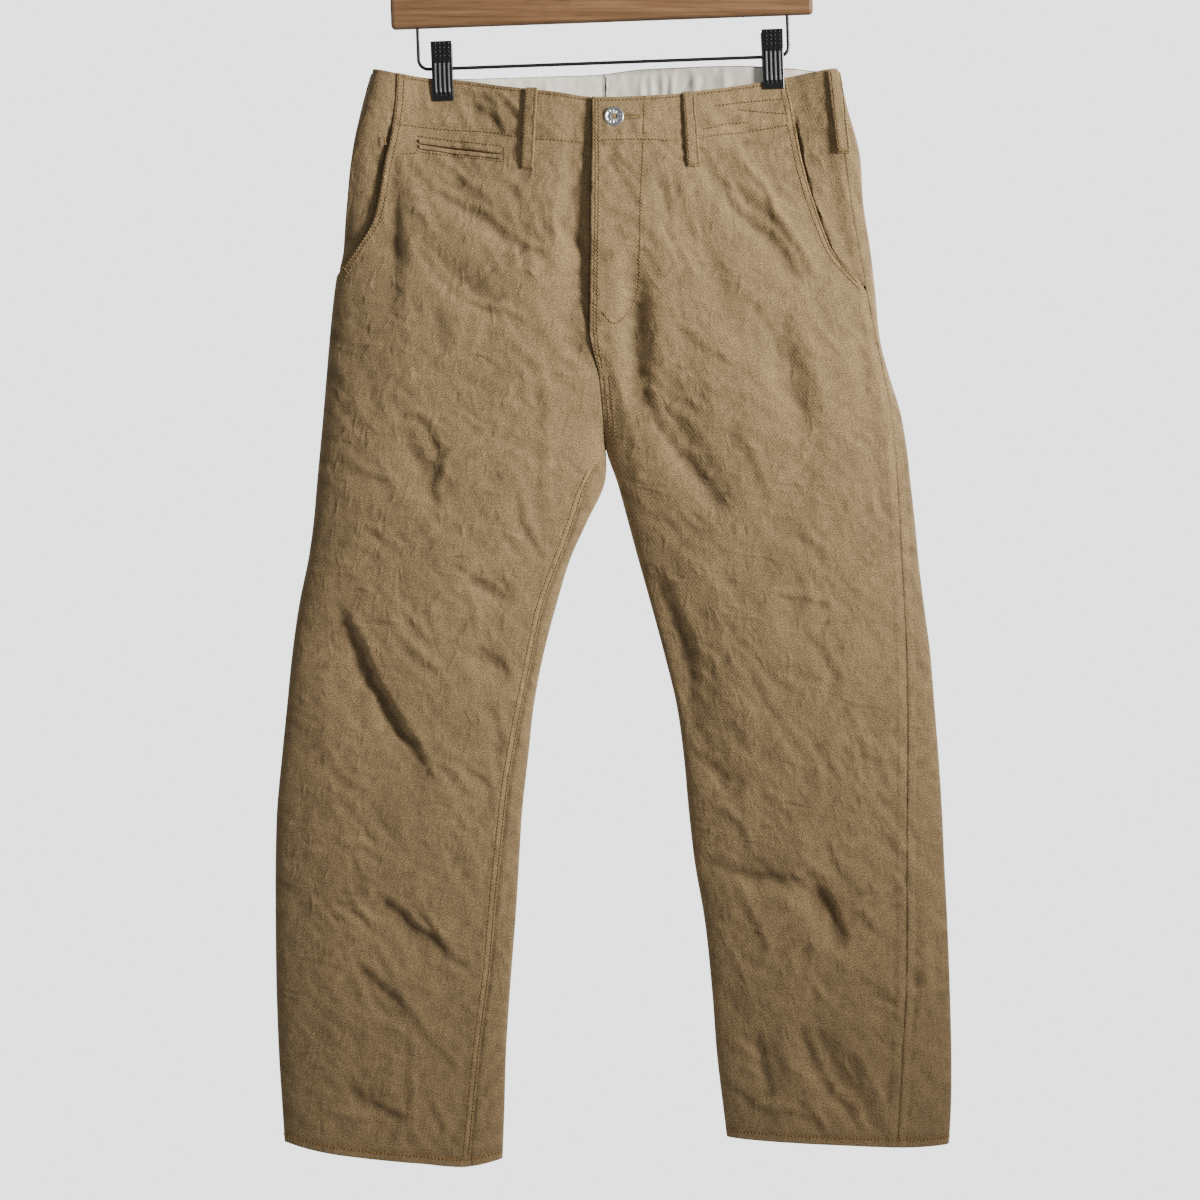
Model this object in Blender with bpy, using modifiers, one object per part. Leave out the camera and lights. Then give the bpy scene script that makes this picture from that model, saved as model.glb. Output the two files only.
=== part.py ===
"""Chino trousers hung by the waist from a wooden hanger with two clips.

The frame has +Z up, +X towards the left leg as worn (the viewer's right) and +Y towards
the back.  Its origin is the point where the hook hangs on its rail.  The tables below are
in millimetres: x, and the drop below that origin.  Objects are made in metres.
"""
import math
from collections import namedtuple

import bpy
import numpy as np
from mathutils import Vector

MM = 0.001

# Driving sizes, in millimetres
WALL = 1.5               # twill, a little over its real thickness
THIN_WALL = 1.0          # pocket bearings, facings and the fly's underlap
SEAM_GAP = 0.3           # between neighbouring pieces
WAIST_DROP = 164.5       # the waist's two ends
CROTCH_DROP = 545.0
POCKET_TURN_DROP = 366.0  # where a pocket's edge turns out to the side seam
POCKET_END_DROP = 387.0
PINCH = 2.8              # half the thickness of the cloth in a clip
CLIP_FLAT = 18.0         # cloth pressed flat to each side of a clip's middle
FRONT_BOW = 20.0         # how far the waist bows open between the clips
BACK_BOW = 22.0
END_BOW = 9.0            # and outside them
END_BOW_PEAK = 0.325     # highest value of the end loop's formula
WAIST_FORM = (200, 330)  # over these drops the pinched waist turns into the hips' ovals
CENTRE_BACK_SHIFT = 14.0  # centre-back seam, to the left of the centre front at the waist
CENTRE_BACK_TURN = 400   # from here down it runs in to the crotch
COLUMNS = 17             # across each panel
EDGE_STRIP = 2.5         # the columns next to a seam
CROTCH_SPREAD = 4.0      # the inseams stand this many half gaps further apart at the crotch
CROTCH_SPREAD_RUN = 45.0  # fading out over about this length below it
MEAN_HEM_DROP = 1240.0
TURN_WEIGHT = 18.0       # extra columns for each radian that the cloth turns

BAR_LENGTH = 422.0
BAR_HEIGHT = 45.0
BAR_THICKNESS = 13.0
BAR_BOTTOM = 117.0       # below the origin, along the hanger's own tilted middle line
HANGER_TILT = math.radians(2.09)
WIRE_RADIUS = 1.7
WIRE_HALF_SPAN = 185.0
WIRE_DROP = 158.0
WIRE_BEND = 10.0
HOOK_RADIUS = 1.9
HOOK_THROAT = 19.0       # inner radius of the hook
CLIP_ALONG = {"right": -161.5, "left": 168.8}
CLIP_TOP = 131.5
CLIP_BITE = 185.0        # the middle of the jaws' pads
CLIP_BOTTOM = 191.0
CLIP_WIDTH = 21.0
PIN_RADIUS = 3.4         # the barrel that the jaws rock on
PIN_DROP = 147.0
BUTTON_RADIUS = 10.0

Section = namedtuple("Section", "drop right_outer right_inner left_inner left_outer "
                                "front back mid_front mid_back")
# Each row is a level section: the two legs' edges seen from the front, the half depths
# of a leg's front and back, and the depths at the centre seams, which close at the crotch.
SECTIONS = [Section(*row) for row in (
    (165, -226.0, -6.0, -6.0, 240.0, 24, 26, 24, 26),
    (205, -237.0, -6.0, -6.0, 250.0, 27, 30, 27, 30),
    (245, -247.5, -6.0, -6.0, 261.0, 30, 33, 30, 33),
    (300, -254.0, -7.0, -7.0, 265.5, 33, 37, 33, 37),
    (350, -258.5, -7.5, -7.5, 273.0, 35, 41, 34.5, 40.5),
    (390, -264.0, -8.0, -8.0, 277.5, 36, 43, 34, 41),
    (440, -269.0, -7.0, -7.0, 283.0, 36, 42, 31, 35),
    (470, -271.5, 0.0, 0.0, 291.0, 35, 40, 27, 30),
    (506, -274.5, 4.0, 4.0, 302.0, 33, 37, 18, 20),
    (545, -278.0, 8.0, 8.0, 309.0, 31, 34, 0, 0),
    (577, -281.0, 7.0, 19.0, 312.5, 30, 32, 0, 0),
    (617, -284.5, -11.0, 30.0, 317.0, 29, 30, 0, 0),
    (650, -289.0, -26.0, 39.0, 320.0, 28, 29, 0, 0),
    (700, -299.0, -41.5, 53.0, 326.0, 27, 28, 0, 0),
    (750, -306.0, -54.5, 66.5, 332.5, 26, 27, 0, 0),
    (800, -311.0, -64.0, 78.5, 336.5, 25, 26, 0, 0),
    (850, -316.0, -69.5, 85.5, 340.5, 24, 25, 0, 0),
    (904, -321.0, -75.5, 90.5, 344.0, 23, 24, 0, 0),
    (960, -322.5, -79.0, 97.0, 346.5, 23, 23, 0, 0),
    (1008, -322.5, -82.0, 105.5, 349.0, 22, 22, 0, 0),
    (1086, -321.5, -88.0, 114.0, 352.0, 22, 22, 0, 0),
    (1151, -319.0, -92.0, 119.0, 353.5, 22, 22, 0, 0),
    (1205, -315.5, -93.5, 125.5, 353.0, 22, 22, 0, 0),
    (1258, -312.0, -95.5, 132.0, 349.5, 22, 22, 0, 0))]

Edge = namedtuple("Edge", "x front back")
# Drop of the waist's front and back edges
WAIST_EDGE = [Edge(*row) for row in (
    (-226, 164.5, 164.5), (-198, 170, 169), (-167, 174, 173), (-138, 176, 173.5),
    (-98, 182.5, 171), (-38, 191, 167), (-3, 196, 165), (42, 195, 160), (82, 191.5, 159),
    (110, 187, 159), (162, 178, 161), (192, 172, 163), (226, 166.5, 164.5),
    (240, 164.5, 164.5))]

Hem = namedtuple("Hem", "x drop")
RIGHT_HEM = [Hem(*row) for row in (
    (-311, 1236), (-284, 1242), (-231, 1249), (-177, 1254), (-127, 1258), (-97, 1253))]
LEFT_HEM = [Hem(*row) for row in ((130, 1231), (173, 1233), (245, 1236), (316, 1239),
                                  (350, 1238))]

Seam = namedtuple("Seam", "drop x")
# Seams that run down the front of the cloth
LEFT_SIDE_SEAM = [Seam(*row) for row in (
    (165, 235), (250, 245), (318, 255), (362, 263), (400, 270), (457, 282), (497, 290),
    (535, 294.5), (579, 298), (635, 301), (732, 306), (961, 306.5), (1086, 305.5),
    (1151, 302), (1240, 297))]
RIGHT_INSEAM = [Seam(*row) for row in (
    (545, 8), (579, -10), (631, -28), (698, -53), (763, -67), (818, -78), (883, -89),
    (937, -95), (995, -101), (1055, -106), (1135, -116), (1215, -124), (1258, -128))]
LEFT_POCKET = [Seam(*row) for row in (
    (165, 186), (193, 192), (222, 197), (260, 204), (298, 214), (327, 224), (352, 235),
    (369, 248), (387, 268))]
RIGHT_POCKET = [Seam(*row) for row in (
    (165, -200), (203, -202), (235, -207), (262, -213), (293, -218), (318, -224),
    (331, -230), (348, -243), (369, -258), (387, -262))]
# Seams that the legs' edges hide: how far they run behind the edge
RIGHT_SIDE_ROLL = [Seam(*row) for row in ((165, 5), (300, 9), (545, 14), (800, 35), (1258, 50))]
LEFT_INSEAM_ROLL = [Seam(*row) for row in ((545, 0), (620, 8), (700, 15), (900, 22), (1258, 32))]

# The lapped fly's edge stands over the right front, which falls back by this much
FLY_RECESS = [Seam(*row) for row in ((165, 3), (240, 6.5), (400, 7), (445, 3.5), (475, 0))]
FLY_RECESS_SPAN = (-46.0, -12.0)
FLY_SHIELD_LENGTH = 272.0
BEHIND = 2.5             # what lies behind a panel, from its outer face
BEARING_HIDDEN = 20.0    # how much wider a bearing is behind the front, below the clip
BEARING_LEAST = 4.0
POCKET_GAPE = 3.0

Fold = namedtuple("Fold", "face x0 drop0 x1 drop1 width depth")
# The largest creases, end to end; a ridge has a negative depth
FOLDS = [Fold(*row) for row in (
    ("front", -181, 268, -50, 358, 14, 7),
    ("front", -182, 341, -96, 411, 14, 7),
    ("front", -198, 509, -153, 606, 16, 7),
    ("front", -262, 690, -160, 880, 19, 13),
    ("front", -130, 668, -80, 700, 14, 7),
    ("front", -122, 737, -84, 776, 14, 7),
    ("front", -224, 985, -144, 1052, 16, 10),
    ("front", -243, 1052, -188, 1105, 14, 6),
    ("front", -258, 1164, -187, 1215, 14, 7),
    ("front", 101, 241, 201, 381, 15, 7),
    ("front", 134, 247, 227, 381, 13, -6),
    ("front", 36, 345, 41, 530, 13, 12),
    ("front", 44, 480, 130, 612, 16, 10),
    ("front", 194, 420, 194, 540, 18, 7),
    ("front", 54, 655, 116, 852, 18, 12),
    ("front", 90, 839, 145, 888, 14, 7),
    ("front", 102, 956, 210, 976, 14, 9),
    ("front", 207, 962, 246, 1042, 15, 9),
    ("front", 200, 1112, 262, 1206, 16, 10),
    ("front", 159, 1118, 178, 1190, 14, 7),
    ("back", -170, 235, -60, 330, 16, 9),
    ("back", 180, 230, 70, 325, 16, 9),
    ("back", -200, 420, -100, 500, 17, 9),
    ("back", 90, 430, 200, 520, 17, 9),
    ("back", -60, 560, -150, 640, 16, 9),
    ("back", 60, 575, 160, 650, 16, 9),
    ("back", -270, 760, -130, 850, 18, 12),
    ("back", -110, 880, -220, 930, 15, 9),
    ("back", 110, 770, 260, 850, 18, 12),
    ("back", 300, 890, 180, 950, 15, 9),
    ("back", -280, 1060, -170, 1130, 16, 9),
    ("back", 160, 1070, 290, 1140, 16, 9))]

# Panel rows, from the waist (0) through the crotch (1) to the hem (2)
LEG_ROWS = 20
HIP_LEVELS = [0, 0.045, 0.10, 0.16, 0.22, 0.29, 0.36, 0.43, 0.49, 0.53, 0.556, 0.585,
              0.66, 0.74, 0.82, 0.88, 0.94]
LEVELS = HIP_LEVELS + [1, 1.02] + [1 + row / LEG_ROWS for row in range(1, LEG_ROWS + 1)]
BEARING_LEVELS = HIP_LEVELS[:11]
TOP_BLEND = 0.35         # the dip of the waist's edge has faded by this level

PART = bpy.data.collections.new("chino_trousers_on_clip_hanger")


# ---------------------------------------------------------------- tables and curves

def smoothstep(start, end, value):
    share = np.clip((value - start) / (end - start), 0.0, 1.0)
    return share * share * (3 - 2 * share)


def read_curve(rows, key, column, at):
    """A column of a table, read at any place as a smooth curve through its rows."""
    place = np.array([getattr(row, key) for row in rows], float)
    value = np.array([getattr(row, column) for row in rows], float)
    slope = np.gradient(value, place)
    i = np.clip(np.searchsorted(place, at) - 1, 0, len(place) - 2)
    span = place[i + 1] - place[i]
    t = np.clip((at - place[i]) / span, 0.0, 1.0)
    return ((1 + 2 * t) * (1 - t) ** 2 * value[i] + t * (1 - t) ** 2 * span * slope[i]
            + t * t * (3 - 2 * t) * value[i + 1] - t * t * (1 - t) * span * slope[i + 1])


def section(column, drop):
    return read_curve(SECTIONS, "drop", column, drop)


def seam(rows, drop):
    return read_curve(rows, "drop", "x", drop)


def clip_x(side):
    """Where a clip's pads meet the cloth, with the hanger tilted."""
    return CLIP_ALONG[side] * math.cos(HANGER_TILT) + CLIP_BITE * math.sin(HANGER_TILT)


# ---------------------------------------------------------------- the form of the cloth

def leg_edges(half, is_front, drop):
    """x of a leg's outer edge and of its inner edge or centre seam."""
    outer = section(half + "_outer", drop)
    centre = (section("right_inner", drop) + section("left_inner", drop)) / 2
    inner = np.where(drop < CROTCH_DROP, centre, section(half + "_inner", drop))
    centre_back = CENTRE_BACK_SHIFT * (1 - smoothstep(CENTRE_BACK_TURN, CROTCH_DROP, drop))
    inner = inner + np.where(is_front, 0.0, centre_back)
    gap = SEAM_GAP / 2 if half == "left" else -SEAM_GAP / 2
    return outer, inner + gap


def leg_depths(is_front, drop):
    """Half depth of the leg, and the angle at which its oval meets the centre seam."""
    deep = np.where(is_front, section("front", drop), section("back", drop))
    middle = np.where(is_front, section("mid_front", drop), section("mid_back", drop))
    middle = np.where(drop >= CROTCH_DROP, 0.0, np.clip(middle, 0.0, deep))
    return deep, np.arccos(middle / deep)


def waist_depth(half, is_front, x, outer):
    """The waist's half depth: pinched at the clips, bowed open between and outside them."""
    first = clip_x("right") + CLIP_FLAT
    last = clip_x("left") - CLIP_FLAT
    between = np.clip((x - first) / (last - first), 0.0, 1.0)
    bow = np.where(is_front, FRONT_BOW, BACK_BOW) * np.sin(math.pi * between) ** 1.3
    sign = 1 if half == "left" else -1
    start = clip_x(half) + sign * CLIP_FLAT
    beyond = np.clip((x - start) / (outer - start), 0.0, 1.0)
    end_loop = END_BOW * beyond ** 1.5 * np.sqrt(1 - beyond) / END_BOW_PEAK
    return PINCH * np.sqrt(1 - beyond ** 2) + bow + end_loop


def fold_depth(is_front, x, drop):
    """How far the creases press the cloth in."""
    total = np.zeros(np.shape(x))
    for fold in FOLDS:
        run = (fold.x1 - fold.x0, fold.drop1 - fold.drop0)
        length = math.hypot(*run)
        along = ((x - fold.x0) * run[0] + (drop - fold.drop0) * run[1]) / length ** 2
        across = ((x - fold.x0) * run[1] - (drop - fold.drop0) * run[0]) / length
        ends = np.clip(4 * along * (1 - along), 0.0, 1.0) ** 0.7
        crease = fold.depth * ends * np.exp(-(across / fold.width) ** 2)
        total += np.where(is_front == (fold.face == "front"), crease, 0.0)
    return total


def locate(g):
    """Face and place on it of a point round a leg.

    g runs from 1 at the front's inner edge through -1 at the outer edge to -3 at the
    back's inner edge, and past either end round the inner edge to the other face."""
    seam_slack = 1e-9
    is_front = ((g <= 1 + seam_slack) & (g >= -1)) | (g < -3 - seam_slack)
    front_place = np.where(g < -3, g + 4, g)
    back_place = np.where(g > 1, 2 - g, -2 - g)
    return is_front, np.minimum(np.where(is_front, front_place, back_place), 1.0)


def face_point(half, is_front, on_face, drop, folded=True):
    """x and y of the cloth's outer face, at a place from -1, outer edge, to 1, inner."""
    outer, inner = leg_edges(half, is_front, drop)
    deep, last_angle = leg_depths(is_front, drop)
    angle = -math.pi / 2 + (on_face + 1) / 2 * (last_angle + math.pi / 2)
    x = outer + (inner - outer) * (np.sin(angle) + 1) / (np.sin(last_angle) + 1)
    waist = 1 - smoothstep(*WAIST_FORM, drop)
    depth = deep * np.cos(angle) * (1 - waist) + waist_depth(half, is_front, x, outer) * waist
    if folded:
        depth = depth - fold_depth(is_front, x, drop) * np.cos(angle)
        if half == "right":
            behind_fly = smoothstep(*FLY_RECESS_SPAN, x) * seam(FLY_RECESS, drop)
            depth = depth - np.where(is_front, behind_fly, 0.0)
    return x, np.where(is_front, -depth, depth)


def face_tangent(half, is_front, on_face, drop, folded=True):
    """Change of x and y for each unit of place on the face."""
    start = np.clip(on_face - 0.01, -1.0, 1.0)
    end = np.clip(on_face + 0.01, -1.0, 1.0)
    xa, ya = face_point(half, is_front, start, drop, folded)
    xb, yb = face_point(half, is_front, end, drop, folded)
    return (xb - xa) / (end - start), (yb - ya) / (end - start)


def cloth_on_face(half, is_front, on_face, drop, out=0.0):
    """x, y, z of the cloth's outer face, moved out along its normal."""
    x, y = face_point(half, is_front, on_face, drop)
    dx, dy = face_tangent(half, is_front, on_face, drop)
    xa, ya = face_point(half, is_front, on_face, drop - 1.0)
    xb, yb = face_point(half, is_front, on_face, drop + 1.0)
    across = np.stack([dx, dy, 0 * dx], axis=-1)
    down = np.stack([(xb - xa) / 2, (yb - ya) / 2, -1.0 + 0 * dx], axis=-1)
    normal = np.cross(across, down)
    normal /= np.linalg.norm(normal, axis=-1, keepdims=True)
    outer, inner = leg_edges(half, is_front, drop)
    away = (x - (outer + inner) / 2) * normal[..., 0] + 4 * y * normal[..., 1]
    normal *= np.sign(away)[..., None]
    point = np.stack([x, y, -drop + 0 * x], axis=-1)
    return point + normal * (out + 0 * x)[..., None]


def cloth_round(half, g, drop, out=0.0):
    """The same, at a place round the leg."""
    is_front, on_face = locate(g)
    return cloth_on_face(half, is_front, on_face, drop, out)


def ring(half, g, drop):
    """x and y of the smooth cloth, without its creases, at a place round the leg."""
    is_front, on_face = locate(g)
    return face_point(half, is_front, on_face, drop, folded=False)


def place_on_face(half, face, x, drop):
    """The place on a face, from -1 at the outer edge to 1 at the inner, that has this x."""
    is_front = np.full(np.shape(drop), face == "front")
    outer, inner = leg_edges(half, is_front, drop)
    last_angle = leg_depths(is_front, drop)[1]
    sine = (x - outer) / (inner - outer) * (np.sin(last_angle) + 1) - 1
    angle = np.arcsin(np.clip(sine, -1.0, 1.0))
    place = -1 + 2 * (angle + math.pi / 2) / (last_angle + math.pi / 2)
    return np.minimum(place, 1.0)


def cloth_at(face, x, drop, out=0.0):
    """x, y, z of the cloth's outer face at any x above the crotch, moved out."""
    is_front = np.full(np.shape(drop), face == "front")
    points = {}
    for half in ("right", "left"):
        place = place_on_face(half, face, x, drop)
        points[half] = cloth_on_face(half, is_front, place, drop, out)
    centre = leg_edges("left", is_front, drop)[1]
    return np.where((x < centre)[..., None], points["right"], points["left"])


# ---------------------------------------------------------------- seams and rows

def side_seam(half, drop):
    if half == "left":
        return place_on_face(half, "front", seam(LEFT_SIDE_SEAM, drop), drop)
    edge = section("right_outer", drop) + seam(RIGHT_SIDE_ROLL, drop)
    return -2 - place_on_face(half, "back", edge, drop)


def inseam(half, drop):
    """The inseam below the crotch, and the centre front above it."""
    if half == "right":
        place = place_on_face(half, "front", seam(RIGHT_INSEAM, drop), drop)
    else:
        edge = section("left_inner", drop) + seam(LEFT_INSEAM_ROLL, drop)
        place = 2 - place_on_face(half, "back", edge, drop)
    return np.where(drop > CROTCH_DROP + 1, place, 1.0)


def pocket_edge(half, drop):
    rows = LEFT_POCKET if half == "left" else RIGHT_POCKET
    return place_on_face(half, "front", seam(rows, drop), drop)


def front_outer_bound(half, drop):
    """The front's outer side: the pocket's edge, which runs into the side seam."""
    to_seam = np.clip((drop - POCKET_TURN_DROP) / (POCKET_END_DROP - POCKET_TURN_DROP), 0.0, 1.0)
    pocket = pocket_edge(half, np.minimum(drop, POCKET_TURN_DROP))
    return pocket * (1 - to_seam) + side_seam(half, drop) * to_seam


def back_inner_bound(half, drop):
    return inseam(half, drop) - 4


def bearing_inner_bound(half, drop):
    """A pocket bearing runs on behind the front, clear of the clip."""
    inward = BEARING_HIDDEN * smoothstep(165, 240, drop) + BEARING_LEAST
    rows = LEFT_POCKET if half == "left" else RIGHT_POCKET
    sign = -1 if half == "left" else 1
    return place_on_face(half, "front", seam(rows, drop) + sign * inward, drop)


def row_drop(half, g, x, level):
    """The drop of a row of the cloth at x."""
    is_front = locate(g)[0]
    hem_rows = LEFT_HEM if half == "left" else RIGHT_HEM
    hem = read_curve(hem_rows, "x", "drop", x)
    edge = np.where(is_front, read_curve(WAIST_EDGE, "x", "front", x),
                    read_curve(WAIST_EDGE, "x", "back", x))
    dip = (edge - WAIST_DROP) * np.clip(1 - level / TOP_BLEND, 0.0, 1.0) ** 2
    upper = WAIST_DROP + (CROTCH_DROP - WAIST_DROP) * level + dip
    lower = CROTCH_DROP + (hem - CROTCH_DROP) * (level - 1)
    return np.where(level < 1, upper, lower)


def settle_rows(half, start, end, share, level):
    """g and drop of points a share of the way from one bound to the other."""
    base = WAIST_DROP + (CROTCH_DROP - WAIST_DROP) * np.minimum(level, 1.0)
    drop = base + np.maximum(level - 1, 0.0) * (MEAN_HEM_DROP - CROTCH_DROP) + 0 * share
    for _ in range(4):
        g_start = start(half, drop[:, :1])
        g_end = end(half, drop[:, -1:])
        g = g_start + (g_end - g_start) * share
        x = ring(half, g, drop)[0]
        drop = row_drop(half, g, x, level)
    return g, drop


def seam_trim(half, g, drop):
    """How much of g half a seam's gap takes."""
    is_front, on_face = locate(g)
    speed = np.hypot(*face_tangent(half, is_front, on_face, drop, folded=False))
    return SEAM_GAP / 2 / speed


def spread_points(half, start, end, columns, levels):
    """g and drop of a panel's points, spaced evenly along the cloth in each row.

    The first and last columns are narrow, so that walls that meet at a seam agree."""
    level = np.array(levels, float)[:, None]
    fine = np.linspace(0.0, 1.0, 97)[None, :] * np.ones_like(level)
    g, drop = settle_rows(half, start, end, fine, level)
    x, y = ring(half, g, drop)
    dx, dy = np.diff(x), np.diff(y)
    turn = np.abs(np.diff(np.unwrap(np.arctan2(dy, dx))))
    turn = np.concatenate([turn, turn[:, -1:]], axis=1)
    length = np.cumsum(np.hypot(dx, dy) + TURN_WEIGHT * turn, axis=1)
    length = np.concatenate([0 * length[:, :1], length], axis=1)
    share = []
    for row, part in zip(length, fine):
        even = np.linspace(0.0, row[-1], columns - 2)
        stops = [0.0, EDGE_STRIP, *even[1:-1], row[-1] - EDGE_STRIP, row[-1]]
        share.append(np.interp(stops, row, part))
    return settle_rows(half, start, end, np.array(share), level)


def panel_grid(half, start, end, columns=COLUMNS, levels=LEVELS):
    """A panel's g and drop, half a seam's gap short of each seam."""
    g, drop = spread_points(half, start, end, columns, levels)
    sign = np.sign(g[:, -1:] - g[:, :1])
    g[:, :1] += sign * seam_trim(half, g[:, :1], drop[:, :1])
    end_trim = seam_trim(half, g[:, -1:], drop[:, -1:])
    past_crotch = drop[:, -1:] - CROTCH_DROP
    thick_seams = 1 + CROTCH_SPREAD * np.exp(-(past_crotch / CROTCH_SPREAD_RUN) ** 2)
    g[:, -1:] -= sign * np.where(past_crotch > -1, end_trim * thick_seams, 0.0)
    return g, drop


# ---------------------------------------------------------------- making the objects

def principled(name, colour, roughness, metallic=0.0):
    material = bpy.data.materials.new(name)
    material.use_nodes = True
    shader = material.node_tree.nodes["Principled BSDF"]
    shader.inputs["Base Color"].default_value = (*colour, 1.0)
    shader.inputs["Roughness"].default_value = roughness
    shader.inputs["Metallic"].default_value = metallic
    return material


def add_object(name, data, material, parent=None):
    thing = bpy.data.objects.new(name, data)
    thing.data.materials.append(material)
    thing.parent = parent
    PART.objects.link(thing)
    return thing


def add_cloth(name, points, wall, material):
    """A grid of points on the outer face, with its wall grown inwards."""
    rows, columns = points.shape[:2]
    down = points[1:, :-1] - points[:-1, :-1]
    across = points[:-1, 1:] - points[:-1, :-1]
    facing = np.sum(np.cross(down, across)[..., 1] * points[:-1, :-1, 1])
    faces = []
    for row in range(rows - 1):
        for column in range(columns - 1):
            corner = row * columns + column
            quad = (corner, corner + columns, corner + columns + 1, corner + 1)
            faces.append(quad if facing > 0 else quad[::-1])
    mesh = bpy.data.meshes.new(name)
    mesh.from_pydata([tuple(point) for point in points.reshape(-1, 3) * MM], [], faces)
    mesh.shade_smooth()
    cloth = add_object(name, mesh, material)
    solid = cloth.modifiers.new("wall", "SOLIDIFY")
    solid.thickness = wall * MM
    solid.offset = -1.0
    return cloth


def add_wire(name, route, radius, material, parent):
    """A round wire along a list of points, with flat ends."""
    curve = bpy.data.curves.new(name, "CURVE")
    curve.dimensions = "3D"
    curve.bevel_depth = radius * MM
    curve.bevel_resolution = 2
    curve.use_fill_caps = True
    spline = curve.splines.new("POLY")
    spline.points.add(len(route) - 1)
    for point, place in zip(spline.points, route):
        point.co = (*(Vector(place) * MM), 1.0)
    return add_object(name, curve, material, parent)


def arc(centre, radius, start, end, steps):
    """Points (x, 0, z) on an arc in the hanger's plane, angles in degrees."""
    points = []
    for step in range(steps + 1):
        angle = math.radians(start + (end - start) * step / steps)
        points.append((centre[0] + radius * math.cos(angle), 0.0,
                       centre[1] + radius * math.sin(angle)))
    return points


# ---------------------------------------------------------------- the trousers

def make_panels(twill):
    for half in ("right", "left"):
        front = cloth_round(half, *panel_grid(half, front_outer_bound, inseam))
        add_cloth("front_panel_" + half, front, WALL, twill)
        back = cloth_round(half, *panel_grid(half, side_seam, back_inner_bound))
        add_cloth("back_panel_" + half, back, WALL, twill)


def make_pocket_bearings(twill):
    """The cloth inside a pocket's mouth: level with the seam, then behind the front."""
    for half in ("right", "left"):
        g, drop = spread_points(half, side_seam, bearing_inner_bound, 11, BEARING_LEVELS)
        seam_g = g[:, :1].copy()
        g[:, :1] += seam_trim(half, g[:, :1], drop[:, :1])
        share = (g - seam_g) / (pocket_edge(half, drop) - seam_g)
        open_part = smoothstep(205, 255, drop) * (1 - smoothstep(320, 365, drop))
        gape = BEHIND + POCKET_GAPE * open_part
        gape[-1, :] += 2.0              # the lowest row lies well inside the side seam
        share[-1, :] = 1.0
        points = cloth_round(half, g, drop, -gape * smoothstep(0.0, 0.6, share))
        add_cloth("pocket_bearing_" + half, points, THIN_WALL, twill)


def make_fly_shield(twill):
    """The underlap, level with the right front's edge and behind the left front."""
    rows = [level for level in LEVELS if level * (CROTCH_DROP - WAIST_DROP) < FLY_SHIELD_LENGTH]
    g, drop = panel_grid("left", front_outer_bound, inseam, COLUMNS, rows)
    g, drop = g[:, -4:], drop[:, -4:]
    behind = np.maximum(seam(FLY_RECESS, drop), BEHIND)
    x = ring("left", g, drop)[0]
    under = np.clip((x - x[:, -1:]) / (x[:, :1] - x[:, -1:]), 0.0, 1.0)
    inward = behind + (BEHIND - behind) * under
    add_cloth("fly_shield", cloth_round("left", g, drop, -inward), THIN_WALL, twill)


def make_waist_facings(ecru):
    """The ecru facing inside the back waist, from the centre-back seam to near each clip."""
    for half in ("right", "left"):
        g, drop = panel_grid(half, side_seam, back_inner_bound, COLUMNS, LEVELS[:4])
        x = ring(half, g, drop)[0]
        between = np.all(np.abs(x - clip_x(half)) > CLIP_FLAT, axis=0)
        between &= np.all(np.abs(x) < abs(clip_x(half)), axis=0)
        g, drop = g[:, between], drop[:, between]
        points = cloth_round(half, g, drop, -(WALL + SEAM_GAP))
        points[0, :, 2] -= 1.5
        add_cloth("waist_facing_" + half, points, THIN_WALL, ecru)


def make_belt_loops(twill):
    """Five folded strips, tacked down at both ends and standing off between them."""
    width = 12.5
    wall = 1.8
    steps = 8
    share = np.linspace(0.0, 1.0, steps)[:, None]
    rise = wall + 0.7 + 1.8 * np.sin(math.pi * share) ** 0.6
    across = np.linspace(-width / 2, width / 2, 3)[None, :]

    plain = (("front_right", "front", -66.0, -70.0, 187.0, 268.0),
             ("front_left", "front", 89.5, 94.5, 192.0, 266.0),
             ("back", "back", 9.0, 9.5, 167.0, 252.0))
    for name, face, x_top, x_bottom, top, bottom in plain:
        x = x_top + (x_bottom - x_top) * share + across
        drop = top + (bottom - top) * share + 0 * across
        points = cloth_at(face, x, drop, rise + 0 * across)
        add_cloth("belt_loop_" + name, points, wall, twill)

    for half in ("right", "left"):
        drop = 168.0 + 82.0 * share + 0 * across
        g = side_seam(half, drop)
        speed = np.hypot(*face_tangent(half, *locate(g), drop, folded=False))
        g = g + across / speed
        points = cloth_round(half, g, drop, rise + 0 * across)
        add_cloth("belt_loop_side_" + half, points, wall, twill)


def make_coin_welts(twill):
    """Two lips with a slit between them, slanting down towards the centre."""
    first_x, last_x = -178.0, -95.0
    slit_start, slit_end = 240.5, 252.5
    lip = 5.0
    x = np.linspace(first_x, last_x, 8)[None, :]
    slit = slit_start + (slit_end - slit_start) * (x - first_x) / (last_x - first_x)
    for name, near, far in (("upper", -lip - 0.4, -0.4), ("lower", 0.4, lip + 0.4)):
        drop = slit + np.array([near, far])[:, None]
        points = cloth_at("front", x + 0 * drop, drop, 2.2)
        add_cloth("coin_welt_" + name, points, 1.0, twill)


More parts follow.
